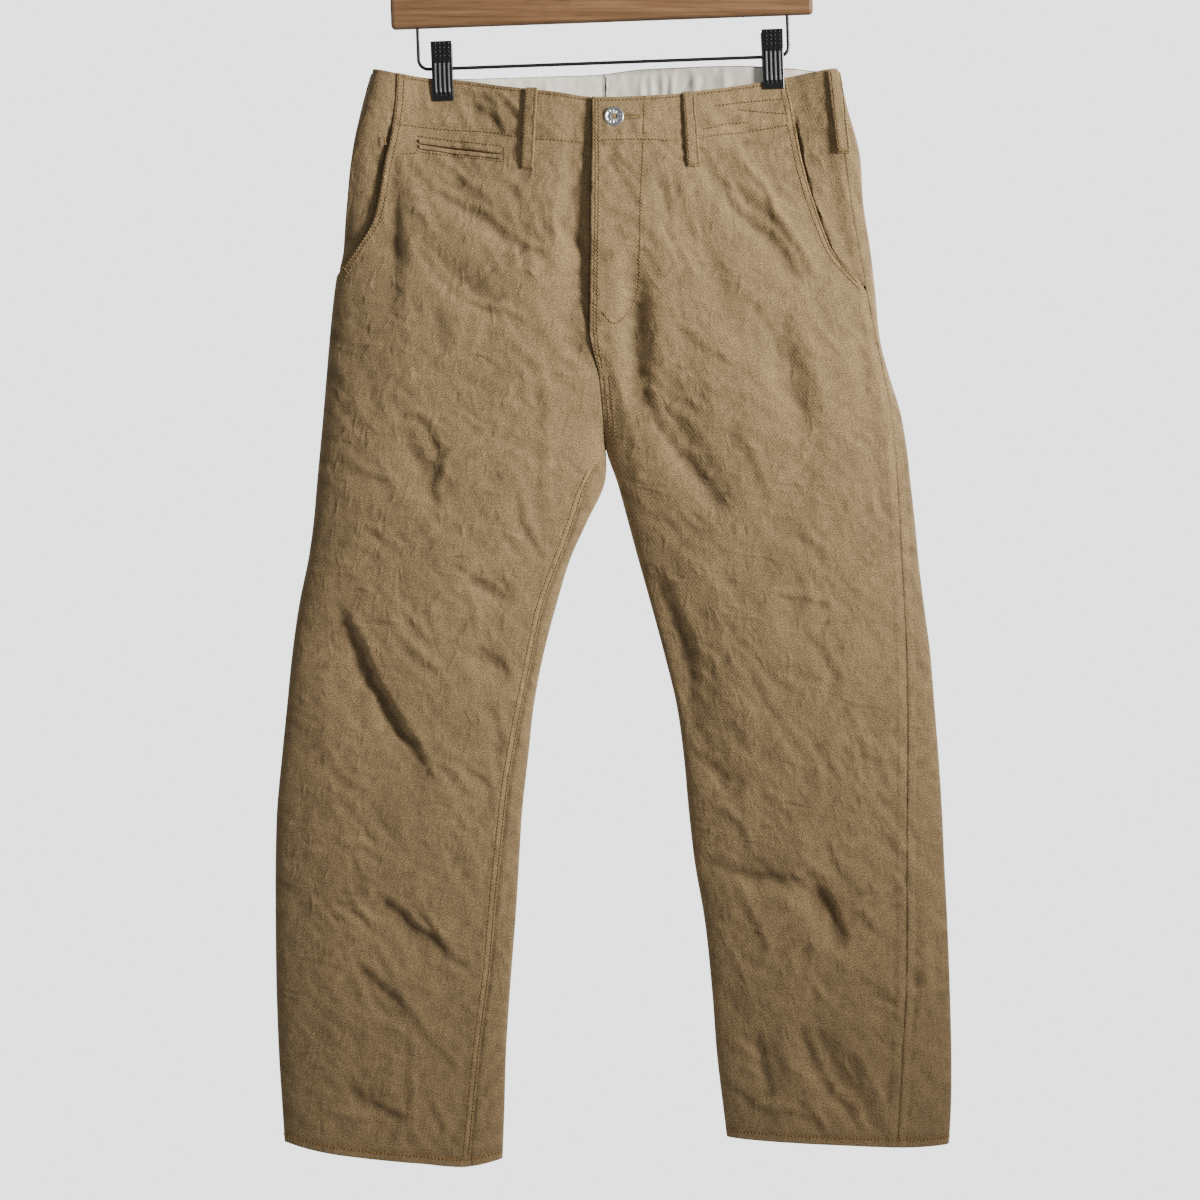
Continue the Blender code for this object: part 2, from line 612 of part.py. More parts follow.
def make_button(metal):
    """A turned jeans button, a ring with a hollow middle, on the lapped front."""
    x, drop = 16.0, 216.0
    around = [(0.0, 0.0), (-9.0, 0.0), (9.0, 0.0), (0.0, -9.0), (0.0, 9.0)]
    levels = []
    for dx, dd in around:
        place = cloth_at("front", np.array(x + dx), np.array(drop + dd))
        levels.append(float(place[1]))
    front = min(levels) - 0.6
    profile = [(0.0, 1.4), (3.0, 1.4), (4.3, 1.9), (6.2, 2.9), (8.4, 2.9), (9.7, 2.1),
               (BUTTON_RADIUS, 1.1), (9.2, 0.2), (6.0, 0.0), (0.0, 0.0)]
    mesh = bpy.data.meshes.new("waist_button")
    edges = [(i, i + 1) for i in range(len(profile) - 1)]
    mesh.from_pydata([(r * MM, 0.0, h * MM) for r, h in profile], edges, [])
    button = add_object("waist_button", mesh, metal)
    turn = button.modifiers.new("turned", "SCREW")
    turn.steps = turn.render_steps = 20
    turn.use_merge_vertices = True
    turn.merge_threshold = 0.0001
    turn.use_normal_calculate = True
    button.location = (x * MM, front * MM, -drop * MM)
    button.rotation_euler = (math.radians(90), 0.0, 0.0)


# ---------------------------------------------------------------- the hanger

def make_bar(wood, hanger):
    bpy.ops.mesh.primitive_cube_add(size=1.0)
    bar = bpy.context.object
    bar.name = bar.data.name = "hanger_bar"
    for vertex in bar.data.vertices:
        vertex.co.x *= BAR_LENGTH * MM
        vertex.co.y *= BAR_THICKNESS * MM
        vertex.co.z *= BAR_HEIGHT * MM
    bar.data.materials.append(wood)
    for owner in list(bar.users_collection):
        owner.objects.unlink(bar)
    PART.objects.link(bar)
    bar.parent = hanger
    bar.location = (0.0, 0.0, (BAR_HEIGHT / 2 - BAR_BOTTOM) * MM)
    rounding = bar.modifiers.new("rounded", "BEVEL")
    rounding.width = 4 * MM
    rounding.segments = 3


def make_hook(steel, hanger):
    """A round hook, open to the viewer's left, on a ferrule at the bar's middle."""
    middle = HOOK_THROAT + HOOK_RADIUS
    centre = (0.0, HOOK_RADIUS - middle)
    bar_top = BAR_HEIGHT - BAR_BOTTOM
    ferrule_height = 4.0
    foot = bar_top + SEAM_GAP + ferrule_height + SEAM_GAP
    bend = 9.0
    neck = arc((middle * math.cos(math.radians(-50)) - bend * math.cos(math.radians(-50)),
                centre[1] + (middle - bend) * math.sin(math.radians(-50))), bend, -50, -90, 3)
    route = arc(centre, middle, 195, -50, 20) + neck[1:-1]
    last = route[-1]
    route += [(last[0] * 0.45, 0.0, last[2] - 3.5), (1.0, 0.0, last[2] - 7.5),
              (0.0, 0.0, last[2] - 11.0), (0.0, 0.0, foot)]
    add_wire("hanger_hook", route, HOOK_RADIUS, steel, hanger)

    bpy.ops.mesh.primitive_cone_add(vertices=24, radius1=6 * MM, radius2=4 * MM,
                                    depth=ferrule_height * MM)
    ferrule = bpy.context.object
    ferrule.name = ferrule.data.name = "hook_ferrule"
    ferrule.data.materials.append(steel)
    for owner in list(ferrule.users_collection):
        owner.objects.unlink(ferrule)
    PART.objects.link(ferrule)
    ferrule.parent = hanger
    ferrule.location = (0.0, 0.0, (bar_top + SEAM_GAP + ferrule_height / 2) * MM)


def make_wire(black, hanger):
    """The clip wire: down from the bar's underside, along, and up again."""
    end = (WIRE_HALF_SPAN, 0.0, -BAR_BOTTOM - SEAM_GAP)
    corner = (WIRE_HALF_SPAN - WIRE_BEND, WIRE_BEND - WIRE_DROP)
    right = [end] + arc(corner, WIRE_BEND, 0, -90, 6)
    left = [(-x, y, z) for x, y, z in reversed(right)]
    spans = [((2 * i / 8 - 1) * -corner[0], 0.0, -WIRE_DROP) for i in range(1, 8)]
    add_wire("hanger_wire", right + spans + left, WIRE_RADIUS, black, hanger)


def make_clips(black, steel, hanger):
    """Two moulded jaws that hold the wire between them and pinch the cloth below it."""
    inner = PINCH + 0.4
    on_wire = WIRE_RADIUS + SEAM_GAP
    jaw = [(inner, -CLIP_BOTTOM), (inner, -WIRE_DROP - 6.0), (on_wire, -WIRE_DROP - 4.0),
           (on_wire, -WIRE_DROP + 4.0), (inner, -WIRE_DROP + 8.0), (7.0, -CLIP_TOP),
           (9.6, -CLIP_TOP - 1.0), (inner + 3.6, -151.0), (inner + 3.2, -176.0),
           (inner + 2.2, -CLIP_BOTTOM)]
    for half, along in CLIP_ALONG.items():
        for face, sign in (("front", -1), ("back", 1)):
            curve = bpy.data.curves.new("clip_" + face + "_jaw_" + half, "CURVE")
            curve.dimensions = "2D"
            curve.fill_mode = "BOTH"
            curve.extrude = CLIP_WIDTH / 2 * MM
            spline = curve.splines.new("POLY")
            spline.points.add(len(jaw) - 1)
            for point, (y, z) in zip(spline.points, jaw):
                point.co = (sign * y * MM, z * MM, 0.0, 1.0)
            spline.use_cyclic_u = True
            clip = add_object(curve.name, curve, black, hanger)
            clip.location = (along * MM, 0.0, 0.0)
            clip.rotation_euler = (math.radians(90), 0.0, math.radians(90))
            weld = clip.modifiers.new("weld", "WELD")
            weld.merge_threshold = 0.0001
            rounding = clip.modifiers.new("rounded", "BEVEL")
            rounding.width = 0.7 * MM
            rounding.segments = 2
        reach = CLIP_WIDTH / 2 - 2.0
        route = [(along - reach, 0.0, -PIN_DROP), (along + reach, 0.0, -PIN_DROP)]
        add_wire("clip_pin_" + half, route, PIN_RADIUS, steel, hanger)


def main():
    for old in list(bpy.data.objects):
        bpy.data.objects.remove(old, do_unlink=True)
    bpy.context.scene.collection.children.link(PART)
    twill = principled("khaki_twill", (0.31, 0.21, 0.115), 0.9)
    ecru = principled("ecru_cotton", (0.78, 0.74, 0.64), 0.9)
    wood = principled("dark_wood", (0.10, 0.055, 0.03), 0.45)
    black = principled("black_plastic", (0.015, 0.015, 0.016), 0.35)
    steel = principled("plated_steel", (0.62, 0.62, 0.63), 0.25, 1.0)
    make_panels(twill)
    make_pocket_bearings(twill)
    make_fly_shield(twill)
    make_waist_facings(ecru)
    make_belt_loops(twill)
    make_coin_welts(twill)
    make_button(steel)
    hanger = bpy.data.objects.new("hanger", None)
    PART.objects.link(hanger)
    hanger.rotation_euler = (0.0, -HANGER_TILT, 0.0)
    make_bar(wood, hanger)
    make_hook(steel, hanger)
    make_wire(black, hanger)
    make_clips(black, steel, hanger)


main()
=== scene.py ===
"""Looks of chino trousers hung by the waist from a wooden hanger with two clips.

Tables are in millimetres: x towards the left leg as worn, and the drop below the point
where the hook hangs on its rail.  y runs towards the back.  Objects are made in metres.
"""
import math
from collections import namedtuple
from functools import partial

import bpy
import numpy as np
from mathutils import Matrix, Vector


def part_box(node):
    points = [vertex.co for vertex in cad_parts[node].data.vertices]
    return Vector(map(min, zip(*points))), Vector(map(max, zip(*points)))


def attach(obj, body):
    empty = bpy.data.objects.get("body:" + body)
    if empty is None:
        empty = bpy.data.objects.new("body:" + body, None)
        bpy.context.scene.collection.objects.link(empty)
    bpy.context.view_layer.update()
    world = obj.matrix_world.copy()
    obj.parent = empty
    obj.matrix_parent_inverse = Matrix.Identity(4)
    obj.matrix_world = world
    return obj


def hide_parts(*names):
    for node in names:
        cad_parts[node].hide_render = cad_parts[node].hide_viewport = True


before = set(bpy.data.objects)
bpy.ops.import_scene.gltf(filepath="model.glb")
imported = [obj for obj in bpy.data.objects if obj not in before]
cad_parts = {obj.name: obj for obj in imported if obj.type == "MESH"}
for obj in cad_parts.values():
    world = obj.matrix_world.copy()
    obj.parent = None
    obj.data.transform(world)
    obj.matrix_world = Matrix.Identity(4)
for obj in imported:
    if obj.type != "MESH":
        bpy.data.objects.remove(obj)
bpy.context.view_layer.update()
MM = 0.001


# ======================================================================= the back panels
# Each back panel is one piece of heavy cotton twill that wraps round the side of the hip
# and leg.  It was washed, crumpled and dried, then hung by two clips, which pinch the
# waist flat and let it bow open between them.

WALL = 1.5
THIN_WALL = 1.0
WAIST_DROP = 164.5
CROTCH_DROP = 545.0
POCKET_TURN_DROP = 366.0
POCKET_END_DROP = 387.0
MEAN_HEM_DROP = 1240.0
PINCH = 2.8              # half the thickness of the cloth in a clip
CLIP_FLAT = 18.0         # the cloth lies flat this far to either side of a clip's middle
CLIP_BITE = 185.0        # the drop at which the clips bite
CLIP_ALONG = {"right": -161.5, "left": 168.8}
HANGER_TILT = math.radians(2.09)
FRONT_BOW = 20.0         # how far the waist bows open between the clips
BACK_BOW = 22.0
END_BOW = 9.0            # and outside them, at its widest
END_BOW_PEAK = 0.325     # the highest value of the curve that END_BOW scales
WAIST_FORM = (200, 330)  # the drops between which the waist's form gives way to the hip's
CENTRE_BACK_SHIFT = 14.0
CENTRE_BACK_TURN = 400


def table(columns, *rows, **options):
    """A list of rows with named columns."""
    row_kind = namedtuple("Row", columns, **options)
    return [row_kind(*row) for row in rows]


# Level sections: the legs' edges seen from the front, the half depths of a leg's front
# and back, and the depths at the centre seams, which close at the crotch
SECTIONS = table(
    "drop right_outer right_inner left_inner left_outer front back mid_front mid_back",
    (165, -226.0, -6.0, -6.0, 240.0, 24, 26, 24, 26),
    (205, -237.0, -6.0, -6.0, 250.0, 27, 30, 27, 30),
    (245, -247.5, -6.0, -6.0, 261.0, 30, 33, 30, 33),
    (300, -254.0, -7.0, -7.0, 265.5, 33, 37, 33, 37),
    (350, -258.5, -7.5, -7.5, 273.0, 35, 41, 34.5, 40.5),
    (390, -264.0, -8.0, -8.0, 277.5, 36, 43, 34, 41),
    (440, -269.0, -7.0, -7.0, 283.0, 36, 42, 31, 35),
    (470, -271.5, 0.0, 0.0, 291.0, 35, 40, 27, 30),
    (506, -274.5, 4.0, 4.0, 302.0, 33, 37, 18, 20),
    (545, -278.0, 8.0, 8.0, 309.0, 31, 34, 0, 0),
    (577, -281.0, 7.0, 19.0, 312.5, 30, 32, 0, 0),
    (617, -284.5, -11.0, 30.0, 317.0, 29, 30, 0, 0),
    (650, -289.0, -26.0, 39.0, 320.0, 28, 29, 0, 0),
    (700, -299.0, -41.5, 53.0, 326.0, 27, 28, 0, 0),
    (750, -306.0, -54.5, 66.5, 332.5, 26, 27, 0, 0),
    (800, -311.0, -64.0, 78.5, 336.5, 25, 26, 0, 0),
    (850, -316.0, -69.5, 85.5, 340.5, 24, 25, 0, 0),
    (904, -321.0, -75.5, 90.5, 344.0, 23, 24, 0, 0),
    (960, -322.5, -79.0, 97.0, 346.5, 23, 23, 0, 0),
    (1008, -322.5, -82.0, 105.5, 349.0, 22, 22, 0, 0),
    (1086, -321.5, -88.0, 114.0, 352.0, 22, 22, 0, 0),
    (1151, -319.0, -92.0, 119.0, 353.5, 22, 22, 0, 0),
    (1205, -315.5, -93.5, 125.5, 353.0, 22, 22, 0, 0),
    (1258, -312.0, -95.5, 132.0, 349.5, 22, 22, 0, 0))

# Drop of the waist's front and back edges
WAIST_EDGE = table(
    "x front back",
    (-226, 164.5, 164.5), (-198, 170, 169), (-167, 174, 173), (-138, 176, 173.5),
    (-98, 182.5, 171), (-38, 191, 167), (-3, 196, 165), (42, 195, 160), (82, 191.5, 159),
    (110, 187, 159), (162, 178, 161), (192, 172, 163), (226, 166.5, 164.5),
    (240, 164.5, 164.5))

HEMS = {
    "right": table("x drop", (-311, 1236), (-284, 1242), (-231, 1249), (-177, 1254),
                   (-127, 1258), (-97, 1253)),
    "left": table("x drop", (130, 1231), (173, 1233), (245, 1236), (316, 1239), (350, 1238))}

LEFT_SIDE_SEAM = table(
    "drop x",
    (165, 235), (250, 245), (318, 255), (362, 263), (400, 270), (457, 282), (497, 290),
    (535, 294.5), (579, 298), (635, 301), (732, 306), (961, 306.5), (1086, 305.5),
    (1151, 302), (1240, 297))
RIGHT_INSEAM = table(
    "drop x",
    (545, 8), (579, -10), (631, -28), (698, -53), (763, -67), (818, -78), (883, -89),
    (937, -95), (995, -101), (1055, -106), (1135, -116), (1215, -124), (1258, -128))
POCKETS = {
    "right": table("drop x", (165, -200), (203, -202), (235, -207), (262, -213), (293, -218),
                   (318, -224), (331, -230), (348, -243), (369, -258), (387, -262)),
    "left": table("drop x", (165, 186), (193, 192), (222, 197), (260, 204), (298, 214),
                  (327, 224), (352, 235), (369, 248), (387, 268))}
# Seams that the legs' edges hide: how far they run behind the edge
RIGHT_SIDE_ROLL = table("drop x", (165, 5), (300, 9), (545, 14), (800, 35), (1258, 50))
LEFT_INSEAM_ROLL = table("drop x", (545, 0), (620, 8), (700, 15), (900, 22), (1258, 32))
# The lapped fly's edge stands over the right front, which falls back by this much
FLY_RECESS = table("drop x", (165, 3), (240, 6.5), (400, 7), (445, 3.5), (475, 0))
FLY_RECESS_SPAN = (-46.0, -12.0)

# The body of the largest creases, end to end; a ridge has a negative depth.  The cloth
# falls into some from one side only: lee is how many times longer its left slope is
FOLDS = {
    "front": table(
        "x0 drop0 x1 drop1 width depth lee",
        (-196, 236, -193, 424, 6, 6, 5.0), (-181, 268, -50, 358, 14, 7),
        (-182, 341, -96, 411, 14, 7), (-198, 509, -153, 606, 13, 6, 1.8),
        (-262, 690, -160, 880, 12, 9, 3.4), (-130, 668, -80, 700, 14, 7),
        (-122, 737, -84, 776, 14, 7), (-224, 985, -144, 1052, 12, 7, 2.4),
        (-243, 1052, -188, 1105, 12, 5, 2.2), (-258, 1164, -187, 1215, 12, 6, 2.2),
        (101, 241, 201, 381, 15, 7), (134, 247, 227, 381, 13, -6), (36, 345, 41, 530, 13, 12),
        (44, 480, 130, 612, 16, 10), (176, 408, 212, 530, 13, 8, 1.6),
        (94, 300, 136, 420, 11, 5, 1.6), (60, 268, 92, 360, 10, 4), (54, 655, 116, 852, 18, 12),
        (90, 839, 145, 888, 14, 7), (102, 956, 210, 976, 14, 9), (207, 962, 246, 1042, 15, 9),
        (200, 1112, 262, 1206, 16, 10), (159, 1118, 178, 1190, 14, 7), defaults=(1.0,)),
    "back": table(
        "x0 drop0 x1 drop1 width depth lee",
        (-170, 235, -60, 330, 16, 9), (180, 230, 70, 325, 16, 9), (-200, 420, -100, 500, 17, 9),
        (90, 430, 200, 520, 17, 9), (-60, 560, -150, 640, 16, 9), (60, 575, 160, 650, 16, 9),
        (-270, 760, -130, 850, 18, 12), (-110, 880, -220, 930, 15, 9),
        (110, 770, 260, 850, 18, 12), (300, 890, 180, 950, 15, 9), (-280, 1060, -170, 1130, 16, 9),
        (160, 1070, 290, 1140, 16, 9), defaults=(1.0,))}

# The sharper creases on them, each a soft trough with a ridge on its upper right, as
# (x, drop) points from the top down
CREASES = {
    "front": table(
        "width depth ridge path",
        # right hip and thigh
        (5.0, 2.6, 0.9, ((-190, 254), (-168, 283), (-141, 301), (-114, 317), (-92, 335), (-50, 358))),
        (4.0, 1.8, 0.8, ((-195, 306), (-176, 314), (-172, 325), (-161, 339))),
        (4.5, 2.0, 0.8, ((-182, 341), (-153, 379), (-121, 404), (-96, 411))),
        (9.0, 2.4, 0.5, ((-196, 262), (-197, 320), (-193, 395))),
        (4.2, 2.8, 0.9, ((-148, 185), (-130, 189), (-114, 196), (-101, 206))),
        (4.0, 2.2, 0.9, ((-110, 186), (-98, 196), (-88, 204), (-80, 216))),
        (4.5, 2.2, 0.9, ((-140, 197), (-116, 206), (-101, 217), (-94, 233))),
        (4.0, 1.3, 0.8, ((-150, 262), (-128, 285), (-104, 303))),
        (5.0, 1.3, 0.7, ((-120, 262), (-88, 285), (-66, 310))),
        (5.0, 1.4, 0.7, ((-84, 290), (-66, 330), (-46, 356))),
        (14.0, 3.6, 0.2, ((-26, 196), (-25, 300), (-24, 400), (-20, 470))),
        (4.0, 1.5, 0.9, ((-122, 403), (-93, 412), (-70, 421))),
        (4.5, 2.4, 0.9, ((-198, 509), (-175, 517), (-166, 530), (-156, 557), (-164, 584), (-153, 606))),
        (4.5, 1.7, 0.8, ((-245, 564), (-222, 573), (-200, 582))),
        (5.0, 1.7, 0.8, ((-236, 620), (-213, 637), (-196, 650))),
        (4.5, 2.2, 1.0, ((-79, 588), (-75, 615), (-53, 655))),
        (6.0, 1.3, 1.0, ((-58, 470), (-57, 540), (-58, 608))),
        (4.5, 1.8, 1.0, ((-143, 658), (-112, 680), (-90, 695))),
        # right knee
        (6.5, 3.4, 0.9, ((-262, 692), (-245, 727), (-227, 770), (-208, 807), (-182, 844), (-160, 878))),
        (4.0, 1.4, 0.9, ((-134, 681), (-127, 705), (-122, 725))),
        (4.5, 2.2, 0.9, ((-124, 735), (-100, 759), (-82, 777))),
        (4.5, 2.0, 0.9, ((-113, 794), (-97, 828), (-98, 867))),
        (4.0, 1.8, 0.9, ((-132, 861), (-110, 878), (-106, 911))),
        (4.5, 1.4, 0.8, ((-258, 937), (-230, 943), (-212, 955))),
        (4.0, 1.3, 0.8, ((-170, 690), (-166, 722), (-158, 742))),
        (4.0, 1.4, 0.8, ((-205, 700), (-186, 716), (-166, 742))),
        (5.0, 1.4, 0.8, ((-150, 905), (-122, 930), (-112, 960))),
        # right shin
        (4.5, 1.6, 0.8, ((-255, 977), (-241, 1002), (-222, 1024))),
        (5.0, 2.9, 0.9, ((-222, 987), (-197, 1004), (-180, 1023), (-163, 1031), (-146, 1050),
                         (-128, 1060))),
        (3.8, 1.8, 0.9, ((-177, 1002), (-165, 1018), (-157, 1040))),
        (5.0, 2.0, 0.8, ((-243, 1052), (-213, 1080), (-188, 1105), (-168, 1130))),
        (4.5, 1.5, 0.8, ((-184, 1122), (-159, 1141), (-140, 1166))),
        (5.0, 2.0, 0.8, ((-258, 1164), (-230, 1193), (-201, 1206), (-180, 1210))),
        (4.5, 1.6, 0.7, ((-279, 1200), (-252, 1210), (-230, 1215))),
        (4.5, 1.5, 0.8, ((-167, 1190), (-157, 1215), (-153, 1240))),
        (4.0, 1.2, 0.6, ((-187, 1110), (-188, 1170), (-187, 1227))),
        # left hip and thigh
        (5.0, 2.5, 0.9, ((101, 241), (120, 277), (145, 316), (166, 331), (185, 354), (201, 381))),
        (4.5, 2.2, 0.9, ((124, 249), (148, 272), (164, 290), (168, 308), (183, 330), (198, 352),
                         (218, 383))),
        (4.6, 1.1, 0.6, ((150, 186), (152, 204), (148, 220))),
        (5.0, 1.0, 0.5, ((202, 172), (205, 190), (212, 214))),
        (5.0, 1.1, 0.5, ((213, 174), (219, 196), (224, 222))),
        (4.4, 1.0, 0.6, ((136, 196), (138, 212), (134, 226))),
        (4.0, 1.4, 0.8, ((12, 252), (26, 262), (36, 274))),
        (4.0, 1.3, 0.8, ((14, 266), (30, 285), (40, 305))),
        (5.0, 1.5, 0.7, ((74, 272), (86, 310), (96, 350))),
        (5.0, 1.5, 0.8, ((56, 262), (68, 300), (72, 345))),
        (6.0, 1.6, 1.0, ((4, 450), (15, 488), (27, 537), (36, 597))),
        (5.5, 2.7, 1.0, ((44, 484), (71, 537), (98, 568), (116, 593), (130, 612))),
        (4.5, 1.4, 0.8, ((58, 468), (82, 490), (100, 512))),
        (5.0, 1.5, 0.7, ((78, 423), (107, 450), (138, 465))),
        (12.0, 2.2, 0.4, ((183, 432), (196, 480), (206, 526))),
        (9.0, 2.6, 0.9, ((262, 420), (272, 500), (280, 560), (287, 610))),
        (4.5, 1.8, 0.8, ((196, 628), (212, 642), (226, 660))),
        (5.0, 1.4, 0.8, ((150, 400), (172, 432), (182, 470))),
        (4.5, 1.3, 0.8, ((120, 520), (150, 555), (170, 600))),
        # left knee
        (7.0, 3.2, 0.8, ((54, 655), (74, 706), (90, 749), (95, 808), (115, 852))),
        (4.5, 1.4, 0.8, ((125, 813), (141, 831), (152, 850))),
        (4.5, 1.9, 0.9, ((90, 839), (112, 858), (132, 876))),
        (5.0, 1.9, 0.9, ((161, 885), (178, 902), (192, 918))),
        (4.5, 2.0, 0.9, ((112, 900), (136, 916), (144, 932), (150, 953))),
        (6.0, 2.4, 0.7, ((104, 952), (141, 966), (207, 974))),
        (4.5, 1.4, 0.7, ((167, 690), (200, 694), (232, 702))),
        (5.0, 1.5, 0.8, ((200, 720), (226, 752), (240, 790))),
        (5.0, 1.4, 0.8, ((150, 760), (168, 800), (190, 830))),
        (5.0, 1.4, 0.8, ((245, 800), (262, 850), (268, 890))),
        # left shin
        (4.5, 1.8, 0.9, ((131, 969), (144, 999), (159, 1027), (170, 1048))),
        (5.5, 2.6, 0.9, ((207, 962), (228, 996), (240, 1024), (248, 1046))),
        (4.5, 1.7, 0.8, ((250, 1000), (264, 1012), (276, 1028))),
        (5.0, 2.7, 0.9, ((202, 1114), (215, 1151), (231, 1183), (259, 1206))),
        (4.5, 1.8, 0.9, ((159, 1118), (166, 1160), (176, 1192))),
        (5.0, 1.9, 0.7, ((133, 1179), (163, 1201), (202, 1207), (224, 1222))),
        (4.5, 1.8, 0.8, ((198, 1190), (212, 1206), (226, 1226))),
        (4.5, 1.5, 0.8, ((224, 930), (236, 960), (262, 990))),
        (6.0, 1.5, 0.7, ((318, 1010), (322, 1070), (312, 1120))),
        (4.5, 1.4, 0.8, ((126, 1040), (142, 1076), (150, 1110)))),
    # the back: the same cloth, crumpled the same way
    "back": table(
        "width depth ridge path",
        (5.0, 2.4, 0.9, ((-170, 232), (-132, 262), (-96, 300), (-58, 332))),
        (5.0, 2.3, 0.9, ((182, 228), (150, 262), (112, 292), (68, 326))),
        (4.5, 1.6, 0.8, ((-120, 200), (-104, 226), (-80, 250))),
        (4.5, 1.6, 0.8, ((120, 196), (104, 222), (86, 252))),
        (6.0, 2.2, 0.9, ((-200, 416), (-160, 450), (-132, 486), (-98, 502))),
        (6.0, 2.2, 0.9, ((90, 426), (128, 462), (160, 496), (204, 524))),
        (5.0, 1.6, 0.8, ((-60, 380), (-44, 420), (-22, 450))),
        (5.0, 1.6, 0.8, ((70, 372), (54, 410), (30, 446))),
        (5.0, 2.2, 0.9, ((-58, 556), (-96, 590), (-150, 642))),
        (5.0, 2.2, 0.9, ((60, 572), (104, 612), (162, 652))),
        (6.5, 3.0, 0.9, ((-272, 756), (-226, 790), (-180, 830), (-128, 852))),
        (4.5, 2.0, 0.9, ((-250, 806), (-214, 846), (-180, 868))),
        (5.0, 2.3, 0.9, ((-110, 876), (-160, 908), (-222, 932))),
        (4.5, 1.5, 0.8, ((-230, 640), (-206, 690), (-196, 720))),
        (6.5, 3.0, 0.9, ((108, 766), (160, 800), (206, 836), (262, 852))),
        (4.5, 2.0, 0.9, ((130, 820), (166, 856), (196, 880))),
        (5.0, 2.2, 0.9, ((302, 886), (246, 922), (178, 952))),
        (4.5, 1.5, 0.8, ((230, 640), (214, 690), (202, 730))),
        (5.0, 2.2, 0.9, ((-282, 1056), (-226, 1096), (-168, 1134))),
        (4.5, 1.6, 0.8, ((-180, 990), (-158, 1026), (-146, 1060))),
        (5.0, 2.2, 0.9, ((158, 1066), (216, 1104), (292, 1144))),
        (4.5, 1.6, 0.8, ((240, 1000), (262, 1036), (270, 1066))),
        (4.5, 1.6, 0.8, ((-240, 1170), (-210, 1196), (-170, 1216))),
        (4.5, 1.6, 0.8, ((200, 1180), (230, 1200), (262, 1222))))}

# The legs' creases once more on the back, turned over, shallower and a little lower
CREASES["back"] += [
    crease._replace(depth=0.75 * crease.depth,
                    path=tuple((14 - 0.97 * x, drop + 21) for x, drop in crease.path))
    for crease in CREASES["front"] if crease.path[0][1] > 500]

# Fine crumples of washed cloth: their width, how much longer they are, their height and
# the way they run, in degrees below level
CRUMPLES = table(
    "size stretch height turn seed",
    (62.0, 1.6, 1.50, 62, 11), (32.0, 2.1, 1.50, 55, 12), (19.0, 2.4, 1.15, 48, 13),
    (17.0, 1.8, 0.70, 125, 14), (10.0, 2.2, 0.55, 56, 15))

CRUMPLING = 1.15         # scales all the crumples
CREASE_DEPTH = {"front": 0.85, "back": 0.6}
LEFT_SLOPE, RIGHT_SLOPE = 1.5, 0.8
BACK_FOLD_WIDTH, BACK_FOLD_DEPTH = 1.5, 0.5
CLIP_CALM = (15, 20)     # half width and half height of the uncreased place in a clip
WAIST_CALM = (2, 22)     # creases grow up to full depth this far from the waist and the hem
HEM_CALM = (4, 22)

RELIEF_STEP = 1.0
RELIEF_X = np.arange(-345.0, 376.0, RELIEF_STEP)
RELIEF_DROP = np.arange(150.0, 1276.0, RELIEF_STEP)


def smoothstep(start, end, value):
    share = np.clip((value - start) / (end - start), 0.0, 1.0)
    return share * share * (3 - 2 * share)


def read_curve(rows, key, column, at):
    """A column of a table, read at any place as a smooth curve through its rows."""
    place = np.array([getattr(row, key) for row in rows], float)
    value = np.array([getattr(row, column) for row in rows], float)
    slope = np.gradient(value, place)
    i = np.clip(np.searchsorted(place, at) - 1, 0, len(place) - 2)
    span = place[i + 1] - place[i]
    t = np.clip((at - place[i]) / span, 0.0, 1.0)
    return ((1 + 2 * t) * (1 - t) ** 2 * value[i] + t * (1 - t) ** 2 * span * slope[i]
            + t * t * (3 - 2 * t) * value[i + 1] - t * t * (1 - t) * span * slope[i + 1])


def section(column, drop):
    return read_curve(SECTIONS, "drop", column, drop)


def seam(rows, drop):
    return read_curve(rows, "drop", "x", drop)


def centre_front(drop):
    return (section("right_inner", drop) + section("left_inner", drop)) / 2


def centre_back_shift(drop):
    """How far the centre-back seam stands to the left of the centre front."""
    return CENTRE_BACK_SHIFT * (1 - smoothstep(CENTRE_BACK_TURN, CROTCH_DROP, drop))


def clip_x(half):
    return CLIP_ALONG[half] * math.cos(HANGER_TILT) + CLIP_BITE * math.sin(HANGER_TILT)


def hem_drop(x):
    return np.where(x < 20, read_curve(HEMS["right"], "x", "drop", x),
                    read_curve(HEMS["left"], "x", "drop", x))


def smooth_path(points, step=6.0):
    """Points every few millimetres along a smooth curve through the given ones."""
    points = np.array(points, float)
    along = np.concatenate([[0], np.cumsum(np.hypot(*np.diff(points, axis=0).T))])
    rows = table("at a b", *((at, a, b) for at, (a, b) in zip(along, points)))
    stops = np.linspace(0, along[-1], max(3, int(along[-1] / step) + 1))
    return np.stack([read_curve(rows, "at", "a", stops), read_curve(rows, "at", "b", stops)],
                    axis=-1)


def perlin(x, y, seed):
    """Smooth noise from about -1 to 1, its bumps about one unit across."""
    angles = np.random.default_rng(seed).uniform(0, 2 * math.pi, (128, 128))
    i, j = np.floor(x).astype(int), np.floor(y).astype(int)
    u, v = x - i, y - j
    total = 0.0
    for di in (0, 1):
        for dj in (0, 1):
            angle = angles[(i + di) % 128, (j + dj) % 128]
            slope = np.cos(angle) * (u - di) + np.sin(angle) * (v - dj)
            near_u = 1 - u if di == 0 else u
            near_v = 1 - v if dj == 0 else v
            fade_u = near_u ** 3 * (near_u * (near_u * 6 - 15) + 10)
            fade_v = near_v ** 3 * (near_v * (near_v * 6 - 15) + 10)
            total = total + slope * fade_u * fade_v
    return 1.4 * total


